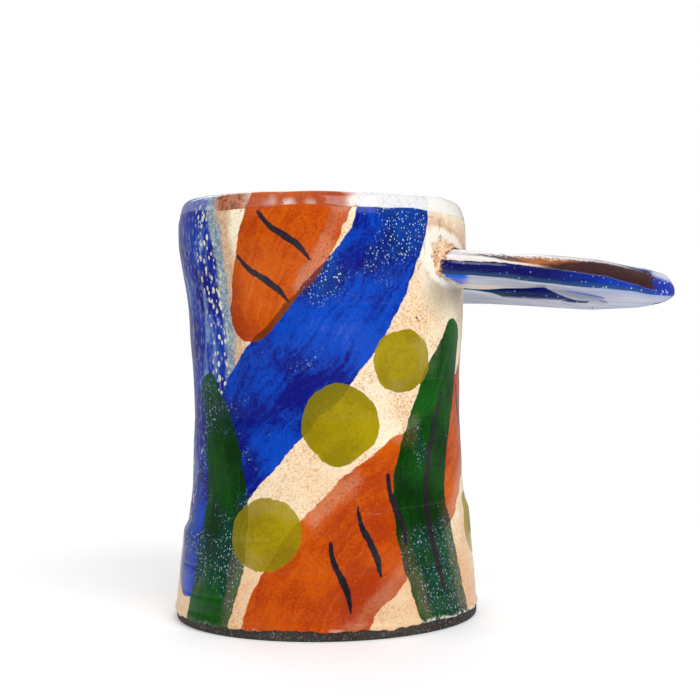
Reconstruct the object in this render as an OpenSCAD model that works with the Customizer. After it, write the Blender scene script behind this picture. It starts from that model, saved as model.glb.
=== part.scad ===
// Hand-built clay mug with a pointed loop handle that stands out level from its side.
// The origin is the middle of the underside, the table is z = 0 and the handle points along +X.

/* [Base slab] */
// Radius of the slab at its edge
slab_r = 39.3; // [38:0.1:46]
// Thickness of the slab
slab_t = 4; // [3:0.5:7]
// Bevel round the underside of the slab
slab_bevel = 0.8; // [0.4:0.1:1.7]
// How far the slab stands out past the foot of the wall
slab_ledge = 0.4; // [0.2:0.05:0.8]

/* [Wall] */
// Height of the rim above the table, halfway through its falls and dips
rim_h = 106.5; // [104:0.25:130]
// How much lower the rim is over the handle than opposite it
rim_fall = 0.9; // [0:0.1:3]
// How much lower the rim dips at the front and the back than between them
rim_dip = 0.5; // [0:0.1:2]
// How far the waist draws in from the edge of the slab
waist_in = 4.95; // [2:0.05:7]
// Height of the waist above the table
waist_h = 52; // [40:1:70]
// How far the wall is drawn in from the edge of the slab where it is fullest, under the lip
mouth_in = 1.9; // [-2:0.1:4]
// Thickness of the wall
wall_t = 5; // [3.5:0.25:7]
// Thickness of the lip
lip_t = 3.8; // [2.5:0.1:5]
// How far the bevel outside the lip leans in
lip_lean = 0.7; // [0.4:0.1:1.6]
// Height of the round on top of the lip
lip_round = 1.8; // [0.8:0.1:2.4]
// How far the wall leans towards the handle
lean = 0.85; // [0:0.05:2.5]
// How far the rim is out of round
oval = 0.4; // [0:0.05:1]

/* [Seam coil] */
// Size of the coil pressed into the corner of slab and wall
coil_r = 5; // [3:0.5:8]

/* [Handle] */
// From the wall to the tip of the handle
reach = 56.3; // [48:0.5:70]
// From the rim down to the middle of the loop where it leaves the wall
root_depth = 18.3; // [18:0.1:36]
// From the middle of the loop to the outside of an arm, at the wall
arm_spread = 23; // [20:0.25:26]
// Width of an arm at the wall
arm_w = 12.5; // [9:0.25:15]
// Thickness of the arms and of the blade
arm_t = 7.7; // [6:0.1:9]
// Width of the bevelled edge along the outside
edge_w = 5.5; // [3:0.25:7]
// From the wall to the end of the finger slot
slot_l = 36; // [28:0.5:42]
// Width of the blunt tip
tip_w = 2; // [1:0.1:4]
// Thickness of the blunt tip
tip_t = 4.2; // [2:0.1:6]
// How far the tip hangs below the root
tip_drop = 4.6; // [0:0.1:8]
// Height of the crown along the top, from halfway along the finger slot to the tip
crown_h = 1.3; // [0:0.1:1.5]
// Tilt of the loop at the wall, in degrees, with the far arm lower
loop_tilt = 5.8; // [0:0.1:7]
// Tilt of each arm at the wall, in degrees
arm_tilt = 9; // [0:0.5:14]
// Tilt of the blade, in degrees
blade_tilt = 14; // [0:0.5:18]

/* [Luting] */
// Width of the clay pressed round an arm's root, on the wall
luting_w = 2.4; // [2:0.1:4]
// How far that clay climbs along the arm
luting_l = 3; // [2:0.1:6]

/* [Glaze] */
// Thickness of the liner glaze
liner_t = 0.5; // [0.3:0.05:0.8]
// How far the liner glaze laps down the outside of the lip
lap_h = 3.5; // [3:0.1:5]
// Thickness of the coat outside
coat_t = 0.45; // [0.3:0.05:0.8]
// How far the coat reaches down over the edge of the slab
coat_drop = 1.2; // [0.9:0.1:1.3]
// Bare wall left between the coat and the clay round a root
bare_gap = 0.6; // [0.3:0.1:0.8]

/* [Hidden] */

// Flats round the wall, and the factor that lets a flat clear the round that it goes over
seg = 48;
flat_out = 1 / cos(180 / seg);
near = -1;
far = 1;

// The wall's swell, as [share of the way up to the waist, share of foot over waist],
// and above the waist as [share of the way up to the rim, share of mouth over waist]
foot_swell_shares = [[0, 1], [0.08, 0.92], [0.165, 0.79], [0.27, 0.65], [0.39, 0.54], [0.51, 0.4],
    [0.63, 0.21], [0.8, 0.11], [1, 0]];
mouth_swell_shares = [[0, 0], [0.2, 0.08], [0.38, 0.3], [0.5, 0.42], [0.6, 0.6], [0.7, 0.83],
    [0.8, 0.98], [0.88, 1], [1, 0.93]];
// The wall's sideways lean, as [share of the wall's height, share of lean]
lean_shares = [[0, 0], [0.1, 0.38], [0.2, 0.68], [0.35, 0.9], [0.5, 1], [0.72, 0.98], [0.82, 0.75],
    [0.92, 0.25], [1, 0.15]];
// Levels of the wall outside, as shares of the way up to the bare windows, and inside as shares of its height
outer_level_shares = [0, 0.054, 0.108, 0.176, 0.258, 0.339, 0.42, 0.529, 0.664, 0.8, 0.908];
inner_level_shares = [0.92, 0.8, 0.67, 0.54, 0.4, 0.27, 0.15];
window_rows = 4;
// Where the wall starts to draw in to the lip's thickness
thin_share = 0.85;
// Turns of the lip's round, the coil's hollow and the luting's hollow, in degrees
lip_turns = [0, 45, 90, 135, 180];
coil_turns = [0, 30, 60, 90];
luting_turns = [0, 30, 60];

// Edge of an arm from top to bottom, as [share of the bevel's width inwards, share of half the thickness]
edge_shares = [[1, 0.98], [0.62, 0.8], [0.3, 0.44], [0, -0.18], [0.03, -0.84], [0.16, -0.98]];
top_share = 1;
under_share = -1;
// How much of the crown each of those points takes, and the crown's height along the handle
crown_edge_shares = [0.75, 0.45, 0.1, 0, 0, 0];
crown_length_shares = [[0.2, 0], [0.3, 0.7], [0.45, 1], [0.95, 1], [1, 0.3]];
// The bevel never takes more than this share of an arm's width
bevel_limit_share = 0.8;
// Half thickness along the handle, as [share of the reach, share of half arm_t]
thick_shares = [[0, 1], [0.84, 1], [0.9, 0.9], [0.94, 0.8], [0.98, 0.65], [1, tip_t / arm_t]];
// How full the outline and the slot are, and how the handle droops
outline_power = 0.76;
slot_power = 0.8;
droop_power = 0.95;
// How late the loop's tilt turns into the blade's
twist_power = 3;
// Stations along the slot and along the blade, as shares of their lengths
slot_station_shares = [0.22, 0.36, 0.5, 0.63, 0.75, 0.86, 0.94, 1];
blade_station_shares = [0.2, 0.4, 0.58, 0.72, 0.83, 0.92, 0.97, 1];

foot_r = slab_r - slab_ledge;
waist_r = slab_r - waist_in;
mouth_r = slab_r - mouth_in;
root_h = rim_h - root_depth;
waist_share = (waist_h - slab_t) / (rim_h - slab_t);
lap_share = 1 - lap_h / (rim_h - slab_t);
root_share = (root_h - slab_t) / wall_h(0);
grip_x = mid_x(root_share) + out_r(0, root_share);
slot_w = arm_spread - arm_w;
arm_middle = arm_spread - arm_w / 2;
root_rise = arm_middle * tan(loop_tilt) + arm_w / 2 * tan(arm_tilt) + arm_t / 2 + luting_w + bare_gap;
window_low_share = (root_h - root_rise - slab_t) / wall_h(0);
window_top_share = (root_h + root_rise - slab_t) / wall_h(0);
levels = concat(
    [for (share = outer_level_shares) share * window_low_share],
    [for (i = [0 : window_rows]) window_low_share + (window_top_share - window_low_share) * i / window_rows],
    [lap_share]);
// Rows of the coat: two over the slab's edge, then the wall's levels
coat_rows = len(levels) + 2;
window_first_row = len(outer_level_shares) + 2;

// Wall: height of the wall at an angle, its radius and its sideways place at a share of that height

function wall_h(a) = rim_h - slab_t - rim_fall / 2 * cos(a) + rim_dip / 2 * cos(2 * a);

function wall_r(share) = share < waist_share
    ? waist_r + (foot_r - waist_r) * lookup(share / waist_share, foot_swell_shares)
    : waist_r + (mouth_r - waist_r) * lookup((share - waist_share) / (1 - waist_share), mouth_swell_shares);

function mid_x(share) = lean * lookup(share, lean_shares);

function out_r(a, share) = wall_r(share) + oval * share * sin(2 * a);

function thickness(share) =
    wall_t + (lip_t + lip_lean - wall_t) * max(0, (share - thin_share) / (1 - thin_share));

// A profile point is [radius, height, share], with the share that sets its sideways place
function spot(a, p) = [mid_x(p[2]) + p[0] * cos(a), p[0] * sin(a), p[1]];

function outer_profile(a) = [for (share = levels) [out_r(a, share), slab_t + share * wall_h(a), share]];

function lip_profile(a) =
    let (middle = out_r(a, 1) - lip_lean - lip_t / 2, top = slab_t + wall_h(a))
    [for (turn = lip_turns)
        [middle + lip_t / 2 * cos(turn), top - lip_round + lip_round * sin(turn), 1]];

function inner_point(a, share) =
    [out_r(a, share) - thickness(share), slab_t + share * wall_h(a), share];

function inner_profile(a) = [for (share = inner_level_shares) inner_point(a, share)];

function coil_top(a) = inner_point(a, coil_r / wall_h(a));

// The coil's hollow, from the wall down to the floor
function hollow_profile(a) =
    let (top = coil_top(a))
    [for (turn = coil_turns)
        [top[0] - coil_r * (1 - cos(turn)), top[1] - coil_r * sin(turn), top[2]]];

function wall_profile(a) =
    concat(outer_profile(a), lip_profile(a), inner_profile(a), [coil_top(a), inner_point(a, 0)]);

// The surface that the liner covers, from the floor over the lip to the end of its lap
function liner_profile(a) =
    concat(reversed(hollow_profile(a)), reversed(inner_profile(a)), reversed(lip_profile(a)),
        [last(outer_profile(a))]);

function last(list) = list[len(list) - 1];

function reversed(list) = [for (i = [len(list) - 1 : -1 : 0]) list[i]];

// A profile point moved by t square to the profile, towards the side that the glaze is on
function lifted(profile, i, t) =
    let (
        before = i == 0 ? [0, profile[0][1]] : profile[i - 1],
        after = i == len(profile) - 1 ? profile[i] : profile[i + 1],
        run = after[0] - before[0],
        rise = after[1] - before[1],
        size = norm([run, rise]))
    [profile[i][0] - t * rise / size, profile[i][1] + t * run / size, profile[i][2]];

// Handle: shares of the reach run from the wall to the tip

function half_out(share) =
    tip_w / 2 + (arm_spread - tip_w / 2) * pow(max(0, 1 - share), outline_power);

function half_slot(share) = slot_w * pow(max(0, 1 - share * reach / slot_l), slot_power);

function droop(share) = tip_drop * pow(max(0, share), droop_power);

function half_thick(share) = arm_t / 2 * lookup(share, thick_shares);

// Height of the middle of the handle's thickness at a sideways place. Each arm tilts about its own middle,
// and the tilts meet where the slot ends.
function mid_z(y, share) =
    let (
        turned = min(1, max(0, share * reach / slot_l)),
        middle = (y < 0 ? -1 : 1) * (half_out(share) + half_slot(share)) / 2,
        loop = loop_tilt + (blade_tilt - loop_tilt) * pow(turned, twist_power),
        arm = arm_tilt + (blade_tilt - arm_tilt) * turned)
    root_h - droop(share) - middle * tan(loop) - (y - middle) * tan(arm);

// One side of the handle across its length: inner top, bevelled edge, inner bottom, as [y, z]
function half_section(side, share) =
    let (
        outside = half_out(share),
        inside = half_slot(share),
        bevel = min(edge_w, (outside - inside) * bevel_limit_share),
        middle = (inside + outside - bevel) / 2,
        crown = crown_h / (arm_t / 2) * lookup(share, crown_length_shares),
        outline = concat(
            [[inside, top_share + crown], [middle, top_share + crown]],
            [for (i = [0 : len(edge_shares) - 1])
                [outside - bevel * edge_shares[i][0], edge_shares[i][1] + crown * crown_edge_shares[i]]],
            [[middle, under_share], [inside, under_share]]))
    [for (p = outline) [side * p[0], mid_z(side * p[0], share) + p[1] * half_thick(share)]];

// Where the wall's outside lies, at a sideways place y and a height z
function wall_x(y, z) =
    let (
        a = asin(y / wall_r((z - slab_t) / wall_h(0))),
        share = (z - slab_t) / wall_h(a))
    mid_x(share) + sqrt(pow(out_r(a, share), 2) - y * y);

// A side of the handle standing off the wall by a distance, as it does at the root
function wall_section(side, off) =
    [for (p = half_section(side, off / reach)) [wall_x(p[0], p[1]) + off, p[0], p[1]]];

function cross_section(side, share) =
    [for (p = half_section(side, share)) [grip_x + share * reach, p[0], p[1]]];

function arm_rings(side) = concat(
    [wall_section(side, 0), wall_section(side, luting_l)],
    [for (share = slot_station_shares) cross_section(side, share * slot_l / reach)]);

// The blade's rings go round both sides, and begin where the slot ends
function blade_rings() =
    [for (share = concat([0], blade_station_shares))
        let (
            along = (slot_l + (reach - slot_l) * share) / reach,
            near_side = cross_section(near, along),
            far_side = cross_section(far, along))
        concat(near_side, [for (i = [len(far_side) - 2 : -1 : 1]) far_side[i]])];

// Solids from grids of points

// Faces between rows of equal length, each row a closed loop
function loop_faces(rows, n, start) =
    [for (i = [0 : rows - 2]) for (k = [0 : n - 1])
        let (next = (k + 1) % n, a = start + i * n, b = a + n)
        for (face = [[a + k, b + next, a + next], [a + k, b + k, b + next]]) face];

function flipped(faces) = [for (face = faces) reversed(face)];

// A solid that goes once round: columns of points, each a closed loop, and the last next to the first
module round_solid(columns) {
    count = len(columns);
    n = len(columns[0]);
    polyhedron([for (column = columns) each column],
        [for (j = [0 : count - 1]) for (k = [0 : n - 1])
            let (next = (k + 1) % n, a = j * n, b = (j + 1) % count * n)
            for (face = [[a + k, a + next, b + k], [a + next, b + next, b + k]]) face]);
}

// The root's end follows the curve of the wall, so it is laid in strips from top to bottom
root_faces = [[0, 8, 1], [0, 9, 8], [1, 7, 2], [1, 8, 7], [2, 7, 3], [3, 7, 6], [3, 6, 4], [4, 6, 5]];

module base_slab() {
    color([0.36, 0.31, 0.26])
        rotate_extrude($fn = 2 * seg)
            polygon([
                [0, 0],
                [slab_r - slab_bevel, 0],
                [slab_r - slab_bevel * (1 - sin(45)), slab_bevel * (1 - cos(45))],
                [slab_r, slab_bevel],
                [slab_r, slab_t - slab_ledge],
                [foot_r / flat_out, slab_t],
                [0, slab_t]]);
}

module wall() {
    color([0.93, 0.80, 0.64])
        round_solid([for (j = [0 : seg - 1])
            let (a = 360 * j / seg)
            [for (p = wall_profile(a)) spot(a, p)]]);
}

module seam_coil() {
    color([0.83, 0.66, 0.50])
        round_solid([for (j = [0 : seg - 1])
            let (a = 360 * j / seg)
            [for (p = concat([inner_point(a, 0)], hollow_profile(a))) spot(a, p)]]);
}

module near_arm() {
    straps = arm_rings(near);
    blade = blade_rings();
    n = len(straps[0]);
    // The last ring of the strap is the near side of the blade's first ring
    strap_rows = len(straps) - 1;
    strap_points = [for (i = [0 : strap_rows - 1]) each straps[i]];
    start = len(strap_points);
    m = len(blade[0]);
    color([0.02, 0.12, 0.50])
        polyhedron(
            concat(strap_points, [for (ring = blade) each ring]),
            concat(
                flipped(root_faces),
                loop_faces(strap_rows, n, 0),
                [for (k = [0 : n - 1])
                    let (a = (strap_rows - 1) * n, next = (k + 1) % n)
                    for (face = [[a + k, start + next, a + next], [a + k, start + k, start + next]]) face],
                // The shoulder that the far arm is luted to
                [concat([for (k = [n - 1 : m - 1]) start + k], [start])],
                loop_faces(len(blade), m, start),
                // The blunt tip
                [[for (k = [m - 1 : -1 : 0]) start + (len(blade) - 1) * m + k]]));
}

module far_arm() {
    rings = arm_rings(far);
    n = len(rings[0]);
    color([0.08, 0.22, 0.58])
        polyhedron(
            [for (ring = rings) each ring],
            concat(
                root_faces,
                flipped(loop_faces(len(rings), n, 0)),
                [[for (k = [0 : n - 1]) (len(rings) - 1) * n + k]]));
}

// Clay pressed round a root, hollowed from the wall to the arm
module luting(side) {
    root = wall_section(side, 0);
    collar = wall_section(side, luting_l);
    middle_y = side * (half_out(0) + half_slot(0)) / 2;
    middle_z = mid_z(middle_y, 0);
    grow_y = 1 + luting_w / ((half_out(0) - half_slot(0)) / 2);
    grow_z = 1 + luting_w / half_thick(0);
    columns = [for (k = [0 : len(root) - 1])
        concat([root[k]],
            [for (turn = luting_turns)
                let (
                    climb = 1 - cos(turn),
                    spread = 1 - sin(turn),
                    y = root[k][1] + (collar[k][1] - root[k][1]) * climb,
                    z = root[k][2] + (collar[k][2] - root[k][2]) * climb,
                    wide_y = y + (root[k][1] - middle_y) * (grow_y - 1) * spread,
                    wide_z = z + (root[k][2] - middle_z) * (grow_z - 1) * spread)
                [wall_x(wide_y, wide_z) + luting_l * climb, wide_y, wide_z]],
            [collar[k]])];
    round_solid(side == near ? columns : reversed(columns));
}

module near_luting() {
    color([0.84, 0.49, 0.27]) luting(near);
}

module far_luting() {
    color([0.78, 0.46, 0.27]) luting(far);
}

module liner_glaze() {
    profiles = [for (j = [0 : seg - 1]) liner_profile(360 * j / seg)];
    n = len(profiles[0]);
    under = [for (j = [0 : seg - 1]) for (p = profiles[j]) spot(360 * j / seg, p)];
    over = [for (j = [0 : seg - 1]) for (i = [0 : n - 1])
        spot(360 * j / seg, lifted(profiles[j], i, liner_t))];
    top = len(under);
    centre = 2 * top;
    color([0.86, 0.83, 0.86])
        polyhedron(
            concat(under, over, [[0, 0, slab_t], [0, 0, slab_t + liner_t]]),
            concat(
                [for (j = [0 : seg - 1]) for (k = [0 : n - 2])
                    let (a = j * n + k, b = (j + 1) % seg * n + k)
                    for (face = [[a, b + 1, b], [a, a + 1, b + 1]]) face],
                [for (j = [0 : seg - 1]) for (k = [0 : n - 2])
                    let (a = top + j * n + k, b = top + (j + 1) % seg * n + k)
                    for (face = [[a, b, b + 1], [a, b + 1, a + 1]]) face],
                [for (j = [0 : seg - 1])
                    let (a = j * n + n - 1, b = (j + 1) % seg * n + n - 1)
                    for (face = [[a, top + b, b], [a, top + a, top + b]]) face],
                [for (j = [0 : seg - 1]) [centre, j * n, (j + 1) % seg * n]],
                [for (j = [0 : seg - 1]) [centre + 1, top + (j + 1) % seg * n, top + j * n]]));
}

// The coat: a point on the clay at an angle and a row, and the same point on the coat's face
function coat_point(a, row, t) =
    let (profile = outer_profile(a), edge_r = slab_r * flat_out)
    row == 0 ? spot(a, [edge_r + t, slab_t - coat_drop, 0])
    : row == 1 ? spot(a, [edge_r + t, slab_t - slab_ledge, 0])
    : spot(a, [profile[row - 2][0] + t, profile[row - 2][1], profile[row - 2][2]]);

// Whether a cell of the coat is left out, because it lies in the window round a root
function in_window(j, row) =
    let (
        step = 360 / seg,
        turn = min(j * step, 360 - (j + 1) * step),
        reach_out = asin((half_out(0) + luting_w + bare_gap) / wall_r(root_share)),
        reach_in = asin(max(0, half_slot(0) - luting_w - bare_gap) / wall_r(root_share)))
    row >= window_first_row && row < window_first_row + window_rows
        && turn + step > reach_in && turn < reach_out;

function coat_here(j, row) = row >= 0 && row < coat_rows - 1 && !in_window((j + seg) % seg, row);

module outer_coat() {
    layer = seg * coat_rows;
    points = [for (t = [0, coat_t]) for (j = [0 : seg - 1]) for (row = [0 : coat_rows - 1])
        coat_point(360 * j / seg, row, t)];
    color([0.10, 0.30, 0.66])
        polyhedron(points,
            [for (j = [0 : seg - 1]) for (row = [0 : coat_rows - 2]) if (coat_here(j, row))
                let (
                    a = j * coat_rows + row,
                    b = (j + 1) % seg * coat_rows + row,
                    outer_a = a + layer,
                    outer_b = b + layer)
                for (face = concat(
                    [[a, b, a + 1], [b, b + 1, a + 1]],
                    [[outer_a, outer_a + 1, outer_b], [outer_b, outer_a + 1, outer_b + 1]],
                    coat_here(j, row - 1) ? [] : [[a, outer_a, outer_b], [a, outer_b, b]],
                    coat_here(j, row + 1) ? []
                        : [[a + 1, outer_b + 1, outer_a + 1], [a + 1, b + 1, outer_b + 1]],
                    coat_here(j - 1, row) ? [] : [[a, a + 1, outer_a + 1], [a, outer_a + 1, outer_a]],
                    coat_here(j + 1, row) ? [] : [[b, outer_b + 1, b + 1], [b, outer_b, outer_b + 1]]))
                    face]);
}

base_slab();
wall();
seam_coil();
near_arm();
far_arm();
near_luting();
far_luting();
liner_glaze();
outer_coat();
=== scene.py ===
"""A hand-built clay mug with a pointed loop handle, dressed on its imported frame.

Lengths in the dataclasses are millimetres and angles are degrees, counted from the handle round the mug.
Meshes are made in metres, in the frame's own place.
"""
import logging
import math
from dataclasses import dataclass, field
from enum import Enum
from typing import Any, Sequence

import bmesh
import bpy
import numpy as np
from mathutils import Matrix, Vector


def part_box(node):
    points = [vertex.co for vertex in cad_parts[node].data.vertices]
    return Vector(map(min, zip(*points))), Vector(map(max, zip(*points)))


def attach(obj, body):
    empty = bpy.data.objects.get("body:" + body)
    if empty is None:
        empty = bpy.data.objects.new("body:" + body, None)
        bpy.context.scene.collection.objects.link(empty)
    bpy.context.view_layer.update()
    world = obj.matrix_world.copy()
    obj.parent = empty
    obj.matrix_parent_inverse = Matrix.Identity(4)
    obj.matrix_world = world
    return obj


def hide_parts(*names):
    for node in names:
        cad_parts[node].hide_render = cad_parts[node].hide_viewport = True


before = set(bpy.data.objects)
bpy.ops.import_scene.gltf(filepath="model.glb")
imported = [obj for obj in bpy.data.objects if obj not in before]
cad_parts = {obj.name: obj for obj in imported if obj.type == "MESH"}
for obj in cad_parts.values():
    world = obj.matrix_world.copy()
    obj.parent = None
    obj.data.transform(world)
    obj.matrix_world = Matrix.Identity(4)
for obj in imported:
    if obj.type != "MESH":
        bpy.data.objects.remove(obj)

logging.basicConfig(level=logging.INFO, format="%(message)s")
log = logging.getLogger("mug")

MM = 0.001
BODY = "root"
Array = np.ndarray
Shares = Sequence[tuple[float, float]]


# Curves, noise and meshes

def smooth_lookup(at: Array, table: Shares) -> Array:
    """Look a share up in a table, along a smooth curve that never overshoots its points.

    Args:
        at: Where to look, in the table's first column.
        table: Pairs of (place, value), with rising places.

    Returns:
        The values there.
    """
    x = np.array([p[0] for p in table], float)
    y = np.array([p[1] for p in table], float)
    step = np.diff(x)
    slope = np.diff(y) / step
    before, after = slope[:-1], slope[1:]
    same_way = before * after > 0
    tangent = np.zeros(len(x))
    tangent[1:-1][same_way] = (2 * before * after)[same_way] / (before + after)[same_way]
    tangent[0], tangent[-1] = slope[0], slope[-1]
    at = np.clip(np.asarray(at, float), x[0], x[-1])
    i = np.clip(np.searchsorted(x, at, side="right") - 1, 0, len(x) - 2)
    t = (at - x[i]) / step[i]
    return ((1 + 2 * t) * (1 - t) ** 2 * y[i] + t * (1 - t) ** 2 * step[i] * tangent[i]
            + t * t * (3 - 2 * t) * y[i + 1] + t * t * (t - 1) * step[i] * tangent[i + 1])


def smooth_step(low: float, high: float, value: Array) -> Array:
    """Rise from 0, where the value is low, to 1, where it is high, with level ends."""
    t = np.clip((np.asarray(value, float) - low) / (high - low), 0, 1)
    return t * t * (3 - 2 * t)


def lattice_noise(turn: Array, level: Array, cells: tuple[int, int], seed: int) -> Array:
    """Smooth noise that closes on itself once round.

    Args:
        turn: Place round the mug, in turns.
        level: Place up the mug, from 0 to 1.
        cells: How many cells of noise go round and up.
        seed: Seed of the lattice.

    Returns:
        Values from -1 to 1.
    """
    grid = np.random.default_rng(seed).uniform(-1, 1, (cells[0], cells[1] + 2))
    u = np.mod(turn, 1.0) * cells[0]
    v = np.clip(level, 0, 1) * cells[1]
    i, j = np.floor(u).astype(int), np.floor(v).astype(int)
    fu, fv = u - i, v - j
    fu, fv = fu * fu * (3 - 2 * fu), fv * fv * (3 - 2 * fv)
    i, following = i % cells[0], (i + 1) % cells[0]
    low = grid[i, j] * (1 - fu) + grid[following, j] * fu
    high = grid[i, j + 1] * (1 - fu) + grid[following, j + 1] * fu
    return low * (1 - fv) + high * fv


def rough_line(turn: Array, waves: Sequence[tuple[int, float]], seed: int) -> Array:
    """A wandering line once round the mug.

    Args:
        turn: Place round the mug, in turns.
        waves: Pairs of (cells round, height in mm).
        seed: Seed of the first wave.

    Returns:
        Heights in mm, about zero.
    """
    level = np.zeros_like(turn)
    return sum(lattice_noise(turn, level, (cells, 1), seed + i) * height
               for i, (cells, height) in enumerate(waves))


def rounded_loop(points: Array, radius: float, steps: int = 4, runs: int = 3) -> Array:
    """Round the corners of closed outlines, keeping the same count of points for each outline.

    Args:
        points: Outlines as (outline, corner, axis).
        radius: Most that a corner is cut back, in mm.
        steps: Points on each corner.
        runs: Points on each straight run between two corners.

    Returns:
        Outlines as (outline, point, axis).
    """
    cuts = []
    for shift in (1, -1):
        way = np.roll(points, shift, axis=1) - points
        reach = np.linalg.norm(way, axis=2, keepdims=True) + 1e-9
        cuts.append(points + way / reach * np.minimum(radius, 0.4 * reach))
    start, end = cuts
    following = np.roll(start, -1, axis=1)
    rows = [(1 - t) ** 2 * start + 2 * t * (1 - t) * points + t * t * end for t in np.linspace(0, 1, steps)]
    rows += [(1 - t) * end + t * following for t in np.linspace(0, 1, runs + 2)[1:-1]]
    return np.stack(rows, axis=2).reshape(points.shape[0], -1, points.shape[2])


def cut_corners(rows: Array, rounds: int) -> Array:
    """Cut the corners of open profiles, keeping their ends.

    Args:
        rows: Points as (row, column, axis), smoothed along the rows.
        rounds: How often the corners are cut.

    Returns:
        More rows on a smoother line.
    """
    for _ in range(rounds):
        first, second = rows[:-1], rows[1:]
        cut = np.stack([0.75 * first + 0.25 * second, 0.25 * first + 0.75 * second], axis=1)
        rows = np.concatenate([rows[:1], cut.reshape(-1, *rows.shape[1:]), rows[-1:]])
    return rows


def added(name: str, data: Any) -> bpy.types.Object:
    """Put a mesh, light or camera into the scene.

    Args:
        name: Name of the object.
        data: What it shows.

    Returns:
        The object.
    """
    made = bpy.data.objects.new(name, data)
    bpy.context.scene.collection.objects.link(made)
    return made


def grid_mesh(name: str, points: Array, caps: tuple[bool, bool] = (False, False)) -> bpy.types.Object:
    """Make a mesh from rows of points, each row a closed loop.

    Args:
        name: Name of the piece.
        points: Points in mm, as (row, column, axis).
        caps: Whether the first and the last row are closed with a fan.

    Returns:
        The object, with smooth faces.
    """
    rows, columns = points.shape[:2]
    flat = points.reshape(-1, 3)
    index = np.arange(rows * columns).reshape(rows, columns)
    low, high = index[:-1], index[1:]
    quads = np.stack([low, np.roll(low, -1, axis=1), np.roll(high, -1, axis=1), high], axis=-1)
    faces = quads.reshape(-1, 4).tolist()
    extra = []
    for is_capped, row, flip in ((caps[0], index[0], True), (caps[1], index[-1], False)):
        if is_capped:
            centre = len(flat) + len(extra)
            extra.append(flat[row].mean(axis=0))
            for a, b in zip(row, np.roll(row, -1)):
                faces.append([b, a, centre] if flip else [a, b, centre])
    if extra:
        flat = np.concatenate([flat, np.array(extra)])
    mesh = bpy.data.meshes.new(name)
    mesh.from_pydata((flat * MM).tolist(), [], faces)
    mesh.shade_smooth()
    mesh.update()
    return added(name, mesh)


def vertices(piece: bpy.types.Object) -> Array:
    """Read a piece's vertices.

    Args:
        piece: The piece.

    Returns:
        Points in mm.
    """
    co = np.empty(len(piece.data.vertices) * 3, np.float32)
    piece.data.vertices.foreach_get("co", co)
    return co.reshape(-1, 3).astype(float) / MM


def write_values(piece: bpy.types.Object, name: str, values: Array) -> None:
    """Keep a number or a vector for each vertex, for the material to read.

    Args:
        piece: The piece.
        name: Name of the attribute.
        values: One number or one triple for each vertex.
    """
    kind, key = ("FLOAT_VECTOR", "vector") if values.ndim == 2 else ("FLOAT", "value")
    attribute = piece.data.attributes.new(name, kind, "POINT")
    attribute.data.foreach_set(key, values.astype(np.float32).ravel())


def apply_modifiers(piece: bpy.types.Object) -> None:
    """Replace a piece's mesh by what its modifiers make of it.

    Args:
        piece: The piece.
    """
    bpy.context.view_layer.update()
    evaluated = piece.evaluated_get(bpy.context.evaluated_depsgraph_get())
    made = bpy.data.meshes.new_from_object(evaluated)
    old = piece.data
    piece.modifiers.clear()
    piece.data = made
    bpy.data.meshes.remove(old)
    made.name = piece.name
    made.shade_smooth()


def dress(piece: bpy.types.Object, material: bpy.types.Material, node: str) -> None:
    """Finish a piece: its material, its body, and the CAD node that it stands for, which is hidden.

    Args:
        piece: The piece.
        material: Its material.
        node: The CAD node that it replaces.
    """
    piece.data.materials.clear()
    piece.data.materials.append(material)
    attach(piece, BODY)
    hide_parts(node)
    log.info("%s: %d vertices, %s", piece.name, len(piece.data.vertices), material.name)


# The clay's shape

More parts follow.
